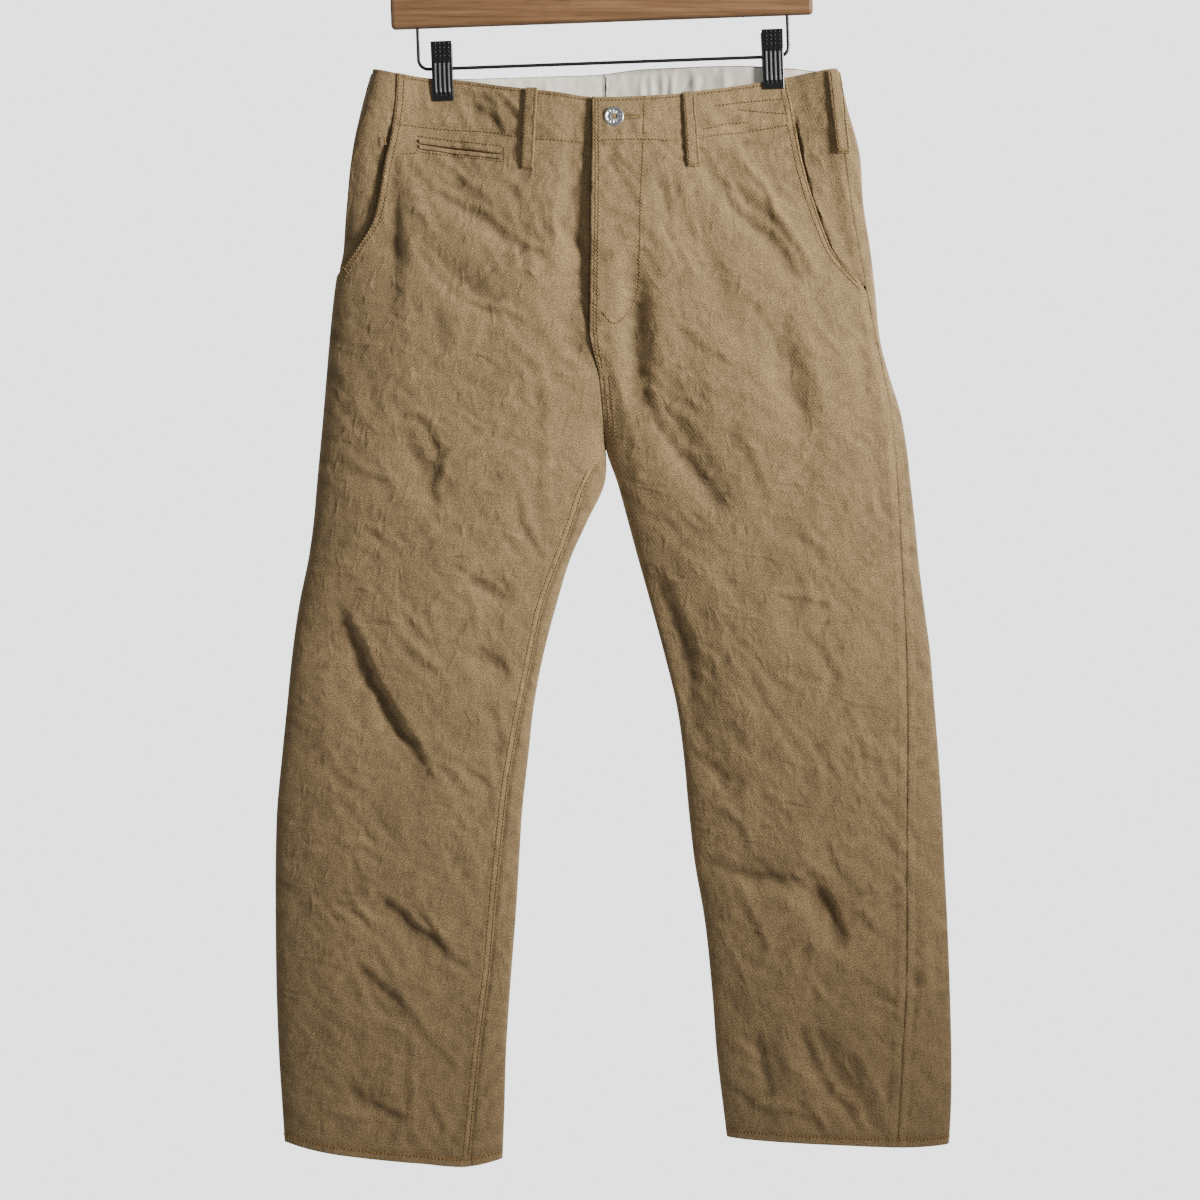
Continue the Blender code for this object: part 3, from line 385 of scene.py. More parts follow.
def along_path(path, x, drop):
    """Distance to a path, positive on its right, and the share of its length there."""
    best = np.full(x.shape, 1e9)
    side = np.ones(x.shape)
    along = np.zeros(x.shape)
    runs = np.diff(path, axis=0)
    spans = np.hypot(runs[:, 0], runs[:, 1])
    begin = 0.0
    for start, run, span in zip(path, runs, spans):
        t = np.clip(((x - start[0]) * run[0] + (drop - start[1]) * run[1]) / span ** 2, 0, 1)
        away_x = x - start[0] - t * run[0]
        away_drop = drop - start[1] - t * run[1]
        away = np.hypot(away_x, away_drop)
        nearer = away < best
        best = np.where(nearer, away, best)
        side = np.where(nearer, np.sign(away_x * run[1] - away_drop * run[0]), side)
        along = np.where(nearer, (begin + t * span) / spans.sum(), along)
        begin += span
    return side * best, along


def press_crease(relief, side, crease):
    """Presses one crease into a relief: a trough, and a ridge beside it."""
    path = smooth_path(crease.path, 9.0)
    reach = 5 * crease.width
    low, high = path.min(axis=0) - reach, path.max(axis=0) + reach
    columns = np.flatnonzero((RELIEF_X > low[0]) & (RELIEF_X < high[0]))
    rows = np.flatnonzero((RELIEF_DROP > low[1]) & (RELIEF_DROP < high[1]))
    part = np.ix_(rows, columns)
    x, drop = np.meshgrid(RELIEF_X[columns], RELIEF_DROP[rows])
    wander = 2.2 * perlin(x / 17, drop / 17, 5)
    if side == "back":
        wander += 7.0 * perlin(x / 70, drop / 70, 8)
    away, along = along_path(path, x, drop)
    taper = np.clip(4 * along * (1 - along), 0.0, 1.0) ** 0.55
    width = crease.width * (0.6 + 0.4 * taper)
    away = away + wander
    slope = width * np.where(away < 0, LEFT_SLOPE, RIGHT_SLOPE)
    trough = np.exp(-(np.abs(away) / slope) ** 1.5)
    crest = np.exp(-((away - 1.6 * width) / width) ** 2)
    relief[part] += crease.depth * CREASE_DEPTH[side] * taper * (trough - crease.ridge * crest)


def crumple(x, drop, seed, mirror):
    """The height of the small, mostly slanting crumples all over the cloth."""
    warp_x = x + 16 * perlin(x / 85, drop / 85, seed)
    warp_drop = drop + 16 * perlin(x / 85 + 40, drop / 85, seed + 1)
    total = np.zeros(x.shape)
    for layer in CRUMPLES:
        turn = math.radians(layer.turn)
        along = mirror * warp_x * math.cos(turn) + warp_drop * math.sin(turn)
        across = -mirror * warp_x * math.sin(turn) + warp_drop * math.cos(turn)
        wave = perlin(along / (layer.size * layer.stretch), across / layer.size,
                      seed + layer.seed)
        crest = 1 - 2.2 * np.sqrt(wave ** 2 + 0.004)
        calm = 0.35 + 0.65 * smoothstep(-0.35, 0.45, perlin(x / 75, drop / 75, layer.seed))
        total += layer.height * crest * calm
    return total


def strip_along(away, width, height):
    """A raised strip, from a line to this far on its positive side, with soft edges."""
    return height * smoothstep(-0.6, 0.6, away) * (1 - smoothstep(width - 0.8, width + 0.8, away))


def groove(away, width, depth):
    return depth * np.exp(-(away / width) ** 2)


def waist_line(x, side):
    return read_curve(WAIST_EDGE, "x", side, x)


FACING_DEPTH = 46.0
TOP_ROW = 3.2            # the row of stitches below the waist's edge
TOPSTITCH_NEAR = 1.9
TOPSTITCH_FAR = 7.0
HEM_DEPTH = 8.5
TURNING = 9.0            # the width of a turned or felled seam allowance


def lay_sewing(relief, side, x, drop):
    """Turned edges, seams and rows of stitches, which raise or draw in the cloth."""
    pucker = perlin(x / 5.0, drop / 5.0, 71)
    hem = hem_drop(x) - drop
    relief -= strip_along(hem, HEM_DEPTH, 0.7)
    relief += groove(hem - HEM_DEPTH + 1.2, 1.5, 0.5) + 0.35 * pucker * strip_along(hem, 14, 1)
    top = drop - waist_line(x, side)
    relief -= strip_along(top, FACING_DEPTH, 0.5)
    relief += groove(top - TOP_ROW, 1.5, 0.45)
    relief += groove(top - FACING_DEPTH, 2.0, 0.5) * (1 + pucker)
    relief += 0.35 * pucker * strip_along(top, 9, 1)
    above_crotch = 1 - smoothstep(CROTCH_DROP - 12, CROTCH_DROP, drop)
    if side == "back":
        away = centre_front(drop) + centre_back_shift(drop) - x
        relief += above_crotch * (groove(away, 1.2, 0.8) - strip_along(away, 8.5, 0.8)
                                  + groove(away - TOPSTITCH_NEAR, 1.2, 0.3)
                                  + groove(away - TOPSTITCH_FAR, 1.2, 0.3))
        return
    below = smoothstep(CROTCH_DROP, CROTCH_DROP + 30, drop)
    away = seam(RIGHT_INSEAM, drop) - x
    relief += below * (groove(away + 1.2, 1.6, 1.0) - strip_along(away, TURNING, 0.9)
                       + groove(away - TOPSTITCH_NEAR, 1.2, 0.4)
                       + groove(away - TOPSTITCH_FAR, 1.2, 0.4) * (1 + pucker)
                       + 0.3 * pucker * strip_along(away, TURNING, 1))
    away = seam(LEFT_SIDE_SEAM, drop) - x
    under_pocket = smoothstep(POCKET_END_DROP, POCKET_END_DROP + 8, drop)
    relief += groove(away, 1.3, 0.9) + groove(away - 10, 2.0, 0.35) + groove(away + 10, 2.0, 0.35)
    relief -= under_pocket * (strip_along(away, TURNING, 0.35) + strip_along(-away, TURNING, 0.35))
    for half, sign in (("right", 1), ("left", -1)):
        away = sign * (x - seam(POCKETS[half], drop))
        mouth = 1 - smoothstep(POCKET_END_DROP - 8, POCKET_END_DROP, drop)
        relief += mouth * (groove(away - TOPSTITCH_NEAR, 1.2, 0.3) - strip_along(away, TURNING, 0.5)
                           + groove(away - TOPSTITCH_FAR, 1.3, 0.5) * (1 + pucker))


def fold_body(side, x, drop):
    """The body of the largest creases, as wide soft troughs."""
    total = np.zeros(x.shape)
    for fold in FOLDS[side]:
        run = (fold.x1 - fold.x0, fold.drop1 - fold.drop0)
        length = math.hypot(*run)
        along = ((x - fold.x0) * run[0] + (drop - fold.drop0) * run[1]) / length ** 2
        across = ((x - fold.x0) * run[1] - (drop - fold.drop0) * run[0]) / length
        across = across + 0.3 * (fold.lee - 1) * fold.width
        width = fold.width * np.where(across < 0, fold.lee, 1.0)
        depth = fold.depth
        if side == "back":
            across = across + 12.0 * perlin(x / 80, drop / 80, 9)
            width, depth = BACK_FOLD_WIDTH * width, BACK_FOLD_DEPTH * depth
        ends = np.clip(4 * along * (1 - along), 0.0, 1.0)
        total += depth * ends * np.exp(-(across / width) ** 2)
    return total


def make_relief(side, seed, mirror):
    """How far every place of one side of the cloth is pressed in, on a fine grid."""
    x, drop = np.meshgrid(RELIEF_X, RELIEF_DROP)
    relief = -CRUMPLING * crumple(x, drop, seed, mirror)
    for crease in CREASES[side]:
        press_crease(relief, side, crease)
    for half in ("right", "left"):
        apart = np.hypot((x - clip_x(half)) / CLIP_CALM[0], (drop - CLIP_BITE) / CLIP_CALM[1])
        relief *= smoothstep(0.7, 1.35, apart)
    relief *= 0.35 + 0.65 * smoothstep(*WAIST_CALM, drop - waist_line(x, side))
    relief *= 0.4 + 0.6 * smoothstep(*HEM_CALM, hem_drop(x) - drop)
    lay_sewing(relief, side, x, drop)
    return relief + fold_body(side, x, drop)


def blur(relief, reach):
    for axis in (0, 1):
        padded = np.pad(relief, reach, mode="edge")
        total = np.cumsum(padded, axis=axis)
        total = np.roll(total, -reach, axis=axis) - np.roll(total, reach + 1, axis=axis)
        relief = total[reach:-reach, reach:-reach] / (2 * reach + 1)
    return relief


RELIEFS = {"front": make_relief("front", 21, 1), "back": make_relief("back", 35, -1)}
# Ridges rub paler, and troughs, seams and stitch grooves are darkened with painted shade: the relief
# against its own surroundings
WEAR_AND_SHADE = {side: blur(relief, 7) - relief for side, relief in RELIEFS.items()}


def read_map(relief, x, drop):
    i = np.clip((x - RELIEF_X[0]) / RELIEF_STEP, 0, len(RELIEF_X) - 1.001)
    j = np.clip((drop - RELIEF_DROP[0]) / RELIEF_STEP, 0, len(RELIEF_DROP) - 1.001)
    a, b = i.astype(int), j.astype(int)
    u, v = i - a, j - b
    return ((1 - u) * (1 - v) * relief[b, a] + u * (1 - v) * relief[b, a + 1]
            + (1 - u) * v * relief[b + 1, a] + u * v * relief[b + 1, a + 1])


def leg_edges(half, is_front, drop):
    """x of a leg's outer edge and of its inner edge or centre seam."""
    outer = section(half + "_outer", drop)
    inner = np.where(drop < CROTCH_DROP, centre_front(drop), section(half + "_inner", drop))
    return outer, inner + np.where(is_front, 0.0, centre_back_shift(drop))


def leg_depths(is_front, drop):
    """Half depth of the leg, and the angle at which its oval meets the centre seam."""
    deep = np.where(is_front, section("front", drop), section("back", drop))
    middle = np.where(is_front, section("mid_front", drop), section("mid_back", drop))
    middle = np.where(drop >= CROTCH_DROP, 0.0, np.clip(middle, 0.0, deep))
    return deep, np.arccos(middle / deep)


def waist_depth(half, is_front, x, outer):
    """The waist's half depth: pinched at the clips, bowed open between and outside them."""
    first = clip_x("right") + CLIP_FLAT
    last = clip_x("left") - CLIP_FLAT
    between = np.clip((x - first) / (last - first), 0.0, 1.0)
    bow = np.where(is_front, FRONT_BOW, BACK_BOW) * np.sin(math.pi * between) ** 1.3
    sign = 1 if half == "left" else -1
    start = clip_x(half) + sign * CLIP_FLAT
    beyond = np.clip((x - start) / (outer - start), 0.0, 1.0)
    end_loop = END_BOW * beyond ** 1.5 * np.sqrt(1 - beyond) / END_BOW_PEAK
    return PINCH * np.sqrt(1 - beyond ** 2) + bow + end_loop


def read_side(maps, is_front, x, drop):
    """A map of the front where the cloth is in front, and of the back elsewhere."""
    return np.where(is_front, read_map(maps["front"], x, drop), read_map(maps["back"], x, drop))


def locate(g):
    """Face and place on it of a point round a leg.

    g runs from 1 at the front's inner edge through -1 at the outer edge to -3 at the
    back's inner edge, and past either end round the inner edge to the other face."""
    seam_slack = 1e-9
    is_front = ((g <= 1 + seam_slack) & (g >= -1)) | (g < -3 - seam_slack)
    front_place = np.where(g < -3, g + 4, g)
    back_place = np.where(g > 1, 2 - g, -2 - g)
    return is_front, np.minimum(np.where(is_front, front_place, back_place), 1.0)


def face_point(half, is_front, on_face, drop, folded=True):
    """x and y of the cloth's outer face, at a place from -1, outer edge, to 1, inner."""
    outer, inner = leg_edges(half, is_front, drop)
    deep, last_angle = leg_depths(is_front, drop)
    angle = -math.pi / 2 + (on_face + 1) / 2 * (last_angle + math.pi / 2)
    x = outer + (inner - outer) * (np.sin(angle) + 1) / (np.sin(last_angle) + 1)
    waist = 1 - smoothstep(*WAIST_FORM, drop)
    depth = deep * np.cos(angle) * (1 - waist) + waist_depth(half, is_front, x, outer) * waist
    if folded:
        depth = depth - read_side(RELIEFS, is_front, x, drop) * np.cos(angle)
        if half == "right":
            behind_fly = smoothstep(*FLY_RECESS_SPAN, x) * seam(FLY_RECESS, drop)
            depth = depth - np.where(is_front, behind_fly, 0.0)
    return x, np.where(is_front, -depth, depth)


def face_tangent(half, is_front, on_face, drop, folded=True):
    """Change of x and y for each unit of place on the face."""
    start = np.clip(on_face - 0.01, -1.0, 1.0)
    end = np.clip(on_face + 0.01, -1.0, 1.0)
    xa, ya = face_point(half, is_front, start, drop, folded)
    xb, yb = face_point(half, is_front, end, drop, folded)
    return (xb - xa) / (end - start), (yb - ya) / (end - start)


def cloth_round(half, g, drop, out=0.0):
    """x, y, z of the cloth's outer face round a leg, moved out along its normal."""
    is_front, on_face = locate(g)
    x, y = face_point(half, is_front, on_face, drop)
    dx, dy = face_tangent(half, is_front, on_face, drop)
    xa, ya = face_point(half, is_front, on_face, drop - 1.0)
    xb, yb = face_point(half, is_front, on_face, drop + 1.0)
    across = np.stack([dx, dy, 0 * dx], axis=-1)
    down = np.stack([(xb - xa) / 2, (yb - ya) / 2, -1.0 + 0 * dx], axis=-1)
    normal = np.cross(across, down)
    normal /= np.linalg.norm(normal, axis=-1, keepdims=True)
    outward = np.where(is_front, 1, -1) * (1 if half == "left" else -1)
    normal *= outward[..., None]
    point = np.stack([x, y, -drop + 0 * x], axis=-1)
    return point + normal * (out + 0 * x)[..., None]


def ring(half, g, drop):
    """x and y of the smooth cloth, without its creases, at a place round the leg."""
    is_front, on_face = locate(g)
    return face_point(half, is_front, on_face, drop, folded=False)


def place_on_face(half, face, x, drop):
    """The place on a face, from -1 at the outer edge to 1 at the inner, that has this x."""
    is_front = np.full(np.shape(drop), face == "front")
    outer, inner = leg_edges(half, is_front, drop)
    last_angle = leg_depths(is_front, drop)[1]
    sine = (x - outer) / (inner - outer) * (np.sin(last_angle) + 1) - 1
    angle = np.arcsin(np.clip(sine, -1.0, 1.0))
    return np.minimum(-1 + 2 * (angle + math.pi / 2) / (last_angle + math.pi / 2), 1.0)


def side_seam(half, drop):
    if half == "left":
        return place_on_face(half, "front", seam(LEFT_SIDE_SEAM, drop), drop)
    edge = section("right_outer", drop) + seam(RIGHT_SIDE_ROLL, drop)
    return -2 - place_on_face(half, "back", edge, drop)


def inseam(half, drop):
    """The inseam below the crotch, and the centre front above it."""
    if half == "right":
        place = place_on_face(half, "front", seam(RIGHT_INSEAM, drop), drop)
    else:
        edge = section("left_inner", drop) + seam(LEFT_INSEAM_ROLL, drop)
        place = 2 - place_on_face(half, "back", edge, drop)
    return np.where(drop > CROTCH_DROP + 1, place, 1.0)


def back_inner_bound(half, drop):
    return inseam(half, drop) - 4


def row_drop(half, g, x, level):
    """The drop of a row of the cloth at x: level 0 waist, 1 crotch, 2 hem."""
    is_front = locate(g)[0]
    edge = np.where(is_front, waist_line(x, "front"), waist_line(x, "back"))
    dip = (edge - WAIST_DROP) * np.clip(1 - level / 0.35, 0.0, 1.0) ** 2
    upper = WAIST_DROP + (CROTCH_DROP - WAIST_DROP) * level + dip
    lower = CROTCH_DROP + (read_curve(HEMS[half], "x", "drop", x) - CROTCH_DROP) * (level - 1)
    return np.where(level < 1, upper, lower)


def settle_rows(half, start, end, share, level):
    """g and drop of points a share of the way from one bound to the other."""
    base = WAIST_DROP + (CROTCH_DROP - WAIST_DROP) * np.minimum(level, 1.0)
    drop = base + np.maximum(level - 1, 0.0) * (MEAN_HEM_DROP - CROTCH_DROP) + 0 * share
    for _ in range(4):
        g_start = start(half, drop[:, :1])
        g_end = end(half, drop[:, -1:])
        g = g_start + (g_end - g_start) * share
        x = ring(half, g, drop)[0]
        drop = row_drop(half, g, x, level)
    return g, drop


# Columns beside a panel's edges, close enough together for the seams and turned edges;
# the outermost strip turns in at the seam
EDGE_STOPS = (0.0, 0.9, 2.0, 3.2, 4.5, 6.0, 7.5, 9.0, 10.5, 12.5)
TURN_WEIGHT = 18.0       # columns crowd where the cloth bends: millimetres for a radian


def panel_grid(half, start, end, columns, levels):
    """g and drop of a panel's points, spaced evenly along the cloth in each row."""
    level = np.array(levels, float)[:, None]
    fine = np.linspace(0.0, 1.0, 161)[None, :] * np.ones_like(level)
    g, drop = settle_rows(half, start, end, fine, level)
    x, y = ring(half, g, drop)
    dx, dy = np.diff(x), np.diff(y)
    turn = np.abs(np.diff(np.unwrap(np.arctan2(dy, dx))))
    turn = np.concatenate([turn, turn[:, -1:]], axis=1)
    length = np.cumsum(np.hypot(dx, dy) + TURN_WEIGHT * turn, axis=1)
    length = np.concatenate([0 * length[:, :1], length], axis=1)
    share = []
    for row, part in zip(length, fine):
        near = np.array(EDGE_STOPS) * min(1.0, row[-1] / 4 / EDGE_STOPS[-1])
        even = np.linspace(near[-1], row[-1] - near[-1], columns - 2 * len(near) + 2)
        stops = [*near[:-1], *even, *(row[-1] - near[-2::-1])]
        share.append(np.interp(stops, row, part))
    return settle_rows(half, start, end, np.array(share), level)


def new_finish(name, **values):
    """A material whose shader has these values, by socket name with _ for a space."""
    material = bpy.data.materials.new(name)
    material.use_nodes = True
    shader = material.node_tree.nodes["Principled BSDF"]
    for socket, value in values.items():
        shader.inputs[socket.replace("_", " ")].default_value = value
    return material, shader


def add_node(material, kind, links=(), **settings):
    """A shader node.  links pairs each input's name or number with a socket or a value."""
    made = material.node_tree.nodes.new("ShaderNode" + kind)
    for name, value in settings.items():
        setattr(made, name, value)
    for name, value in links:
        if isinstance(value, bpy.types.NodeSocket):
            material.node_tree.links.new(value, made.inputs[name])
        else:
            made.inputs[name].default_value = value
    return made


def connect(material, output, shader, socket):
    material.node_tree.links.new(output, shader.inputs[socket])


def add_ramp(material, value, stops):
    """A colour ramp; each stop is a position and a colour or a grey."""
    ramp = add_node(material, "ValToRGB", [("Fac", value)])
    while len(ramp.color_ramp.elements) < len(stops):
        ramp.color_ramp.elements.new(0.5)
    for element, (position, colour) in zip(ramp.color_ramp.elements, stops):
        element.position = position
        element.color = (*colour, 1.0) if hasattr(colour, "__len__") else (colour,) * 3 + (1.0,)
    return ramp.outputs["Color"]


def blend_colours(material, mode, amount, first, second):
    mix = add_node(material, "Mix", data_type="RGBA", blend_type=mode)
    for place, value in ((0, amount), (6, first), (7, second)):
        if isinstance(value, bpy.types.NodeSocket):
            material.node_tree.links.new(value, mix.inputs[place])
        else:
            mix.inputs[place].default_value = value
    return mix.outputs[2]


def stretched_noise(material, place, scale, detail=2.0, roughness=0.55):
    """Noise over the cloth, with a separate number of bumps a metre each way."""
    scaled = add_node(material, "Mapping", [("Vector", place), ("Scale", scale)])
    noise = add_node(material, "TexNoise", [("Vector", scaled.outputs[0]), ("Scale", 1.0),
                                            ("Detail", detail), ("Roughness", roughness)])
    return noise.outputs["Fac"]


def on_object(material):
    """Coordinates for a finish that has no weave to follow."""
    return add_node(material, "TexCoord").outputs["Object"]


def crackle(material, place, turn, scale, roughness, distortion):
    """Fine sharp wrinkles that run at an angle to the weave."""
    turned = add_node(material, "Mapping", [("Vector", place), ("Rotation", (0, 0, turn)),
                                            ("Scale", scale)])
    noise = add_node(material, "TexNoise", [("Vector", turned.outputs[0]), ("Scale", 1.0),
                                            ("Detail", 3.0), ("Roughness", roughness),
                                            ("Distortion", distortion)],
                     noise_type="RIDGED_MULTIFRACTAL")
    return noise.outputs["Fac"]


def add_bump(material, height, strength, distance, below=None):
    """A bumpy surface, on top of the one below it; the distance is in metres."""
    links = [("Height", height), ("Strength", strength), ("Distance", distance)]
    if below:
        links.append(("Normal", below))
    return add_node(material, "Bump", links).outputs[0]


def dye_twill(name, tint):
    """Piece-dyed cotton twill: slubby warp streaks, a fine diagonal rib, ridges rubbed paler and
    painted shade in the troughs.
    """
    twill, shader = new_finish(name, Roughness=0.86, Sheen_Weight=0.22, Sheen_Roughness=0.45,
                               Sheen_Tint=(1.0, 0.93, 0.82, 1.0), Specular_IOR_Level=0.25)
    place = add_node(twill, "Attribute", attribute_name="weave").outputs["Vector"]
    wear_and_shade = add_node(twill, "Attribute", attribute_name="wear_and_shade").outputs["Fac"]
    streaks = stretched_noise(twill, place, (520, 90, 1), 3.0, 0.6)
    slubs = stretched_noise(twill, place, (1050, 700, 1), 1.5)
    blotches = stretched_noise(twill, place, (24, 13, 1), 4.0, 0.62)
    dark, mid, pale = ([channel * shade for channel in tint] for shade in (0.84, 1.0, 1.16))
    base = add_ramp(twill, streaks, ((0.30, dark), (0.50, mid), (0.72, pale)))
    specks = add_ramp(twill, slubs, ((0.34, 0.44), (0.50, 1.0), (0.66, 1.62)))
    base = blend_colours(twill, "MULTIPLY", 0.85, base, specks)
    patch = add_ramp(twill, blotches, ((0.30, (0.84, 0.85, 0.82)), (0.70, (1.12, 1.08, 1.05))))
    base = blend_colours(twill, "MULTIPLY", 0.8, base, patch)
    # Ridges paler from wear; troughs and stitch grooves darker as painted shade
    paled_and_shaded = add_ramp(twill, wear_and_shade, ((0.0, 0.55), (0.5, 1.0), (1.0, 1.28)))
    base = blend_colours(twill, "MULTIPLY", 0.9, base, paled_and_shaded)
    connect(twill, base, shader, "Base Color")
    small = crackle(twill, place, 0.55, (115, 60, 1), 0.6, 0.5)
    large = crackle(twill, place, -0.62, (30, 62, 1), 0.5, 0.8)
    surface = add_bump(twill, small, 0.8, 0.0015)
    surface = add_bump(twill, large, 0.9, 0.0024, surface)
    rib_place = add_node(twill, "Mapping", [("Vector", place), ("Scale", (1.0, 0.62, 1.0))])
    ribs = add_node(twill, "TexWave", [("Vector", rib_place.outputs[0]), ("Scale", 180.0),
                                       ("Distortion", 1.2), ("Detail", 2.0),
                                       ("Detail Scale", 2.0)], bands_direction="DIAGONAL")
    surface = add_bump(twill, slubs, 0.55, 0.0006, surface)
    surface = add_bump(twill, ribs.outputs["Fac"], 0.30, 0.0003, surface)
    connect(twill, surface, shader, "Normal")
    return twill


TWILL = dye_twill("khaki_twill", (0.296, 0.205, 0.104))


def put_in_scene(name, data):
    made = bpy.data.objects.new(name, data)
    bpy.context.scene.collection.objects.link(made)
    return made


def build_mesh(name, points, faces):
    """A smooth mesh from points in metres."""
    mesh = bpy.data.meshes.new(name)
    mesh.from_pydata(points, [], faces)
    mesh.shade_smooth()
    return mesh


def settle_mesh(name, holder):
    """The mesh that a curve, or a mesh with its modifiers, comes out as."""
    view = bpy.context.evaluated_depsgraph_get()
    mesh = bpy.data.meshes.new_from_object(holder.evaluated_get(view))
    bpy.data.objects.remove(holder)
    mesh.name = name
    return mesh


def finish_mesh(name, mesh, material):
    """An object in the scene that rides the part's one body."""
    mesh.set_sharp_from_angle(angle=math.radians(50))
    mesh.materials.clear()
    mesh.materials.append(material)
    piece = put_in_scene(name, mesh)
    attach(piece, "root")
    return piece


def grid_faces(rows, columns):
    corner = (np.arange(rows - 1)[:, None] * columns + np.arange(columns - 1)).ravel()
    return np.stack([corner, corner + columns, corner + columns + 1, corner + 1], axis=-1)


def cloth_mesh(name, points, wall, weave, wear_and_shade):
    """A wall of cloth grown inwards from a grid of points on its outer face."""
    rows, columns = points.shape[:2]
    down = points[1:, :-1] - points[:-1, :-1]
    across = points[:-1, 1:] - points[:-1, :-1]
    facing = np.sum(np.cross(down, across)[..., 1] * points[:-1, :-1, 1])
    faces = grid_faces(rows, columns)
    if facing <= 0:
        faces = faces[:, ::-1]
    mesh = build_mesh(name, (points.reshape(-1, 3) * MM).tolist(), faces.tolist())
    lay = mesh.attributes.new("weave", "FLOAT_VECTOR", "POINT")
    lay.data.foreach_set("vector", (weave.reshape(-1, 3) * MM).astype(np.float32).ravel())
    wear_and_shade_tone = mesh.attributes.new("wear_and_shade", "FLOAT", "POINT")
    wear_and_shade_tone.data.foreach_set("value", wear_and_shade.astype(np.float32).ravel())
    flat = put_in_scene(name + "_flat", mesh)
    solid = flat.modifiers.new("wall", "SOLIDIFY")
    solid.thickness = wall * MM
    solid.offset = -1.0
    return settle_mesh(name, flat)


# The straight grain runs down the middle of each leg: (drop, x) at its two ends
GRAIN_LINE = {"right": ((165, -135), (1258, -208)), "left": ((165, 135), (1258, 242))}


def grain_place(half, g, drop, run):
    """How far round the leg the cloth is from the line of its straight grain."""
    (top, x_top), (foot, x_foot) = GRAIN_LINE[half]
    x = x_top + (x_foot - x_top) * (drop - top) / (foot - top)
    middle = g.shape[1] // 2
    face = "front" if locate(g[g.shape[0] // 2, middle])[0] else "back"
    place = place_on_face(half, face, x[:, middle], drop[:, middle])
    target = place if face == "front" else -2 - place
    sign = np.sign(g[0, -1] - g[0, 0])
    start = [np.interp(sign * at, sign * row, length) for at, row, length in zip(target, g, run)]
    return run - np.array(start)[:, None]


WEAR_AND_SHADE_GAIN = 0.38               # how strongly a millimetre of relief pales the dye on ridges and paints shade in troughs


def add_cloth(name, half, g, drop, material, slot, wall=WALL, out=0.0, rolled=0.7):
    """A panel: its points round the leg, with its outermost strips turned in."""
    points = cloth_round(half, g, drop, out)
    inward = np.zeros(g.shape)
    inward[:, 0] = inward[:, -1] = rolled
    if rolled:
        apart = smoothstep(4, 70, CROTCH_DROP - drop) + smoothstep(4, 20, drop - CROTCH_DROP)
        inward *= apart * smoothstep(0.5, 9, hem_drop(ring(half, g, drop)[0]) - drop)
        points = cloth_round(half, g, drop, out - inward)
    is_front = locate(g)[0]
    x, y = ring(half, g, drop)
    run = np.concatenate([0 * x[:, :1], np.cumsum(np.hypot(np.diff(x), np.diff(y)), axis=1)],
                         axis=1)
    weave = np.stack([grain_place(half, g, drop, run), drop, 0 * drop], axis=-1)
    # Paler on ridges from wear, darker in troughs and stitch grooves as painted shade
    wear_and_shade = 0.5 + np.clip(read_side(WEAR_AND_SHADE, is_front, x, drop) * WEAR_AND_SHADE_GAIN, -0.5, 0.5)
    mesh = cloth_mesh(name, points, wall, weave, wear_and_shade)
    return finish_mesh(name, mesh, material)


def hang_sheet(node):
    """Hides the solid part that a hung piece of cloth replaces."""
    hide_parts(node)


COLUMNS = 100
# Rows lie closer at the waist, below it and at the hem
LEVELS = np.concatenate([np.linspace(0, 0.03, 9)[:-1], np.linspace(0.03, 0.14, 13)[:-1],
                         np.linspace(0.14, 1, 108)[:-1], np.linspace(1, 1.978, 222)[:-1],
                         np.linspace(1.978, 2, 13)])

for half in ("right", "left"):
    grid = panel_grid(half, side_seam, back_inner_bound, COLUMNS, LEVELS)
    back = add_cloth("back_panel_cloth_" + half, half, *grid, TWILL, "twill")
    hang_sheet("back_panel_" + half)


# ====================================================================== the front panels
# Each front panel is cut from the same twill, with a scooped pocket mouth whose edge is
# turned and stitched.  The left front laps over the right one at the fly.

def pocket_edge(half, drop):
    return place_on_face(half, "front", seam(POCKETS[half], drop), drop)


def front_outer_bound(half, drop):
    """The front's outer side: the pocket's edge, which runs into the side seam."""
    to_seam = np.clip((drop - POCKET_TURN_DROP) / (POCKET_END_DROP - POCKET_TURN_DROP), 0.0, 1.0)
    pocket = pocket_edge(half, np.minimum(drop, POCKET_TURN_DROP))
    return pocket * (1 - to_seam) + side_seam(half, drop) * to_seam


for half in ("right", "left"):
    grid = panel_grid(half, front_outer_bound, inseam, COLUMNS, LEVELS)
    front = add_cloth("front_panel_cloth_" + half, half, *grid, TWILL, "twill")
    hang_sheet("front_panel_" + half)


# =================================================================== the pocket bearings
# A bearing is a facing of twill sewn to the back panel at the side seam.  It closes the
# pocket's mouth and runs on behind the front.

POCKET_GAPE = 3.6        # how far the mouth stands open between its two bar tacks
BEHIND = 1.9             # how far cloth lies behind cloth that covers it
SLOT_WIDTH = 3.4         # the mouth's dark slot, beside the front's edge
SLOT_DEPTH = 4.5
# Drops between which the mouth opens, closes again and sinks behind the side seam
MOUTH_OPENS, MOUTH_CLOSES, MOUTH_SINKS = (215, 255), (340, 366), (362, 372)
SLOT_OPENS, SLOT_CLOSES = (205, 240), (358, 368)
BEARING_FOOT = (379, 387)


def bearing_inner_bound(half, drop):
    inward = 20 * smoothstep(165, 240, drop) + 4
    sign = -1 if half == "left" else 1
    return place_on_face(half, "front", seam(POCKETS[half], drop) + sign * inward, drop)


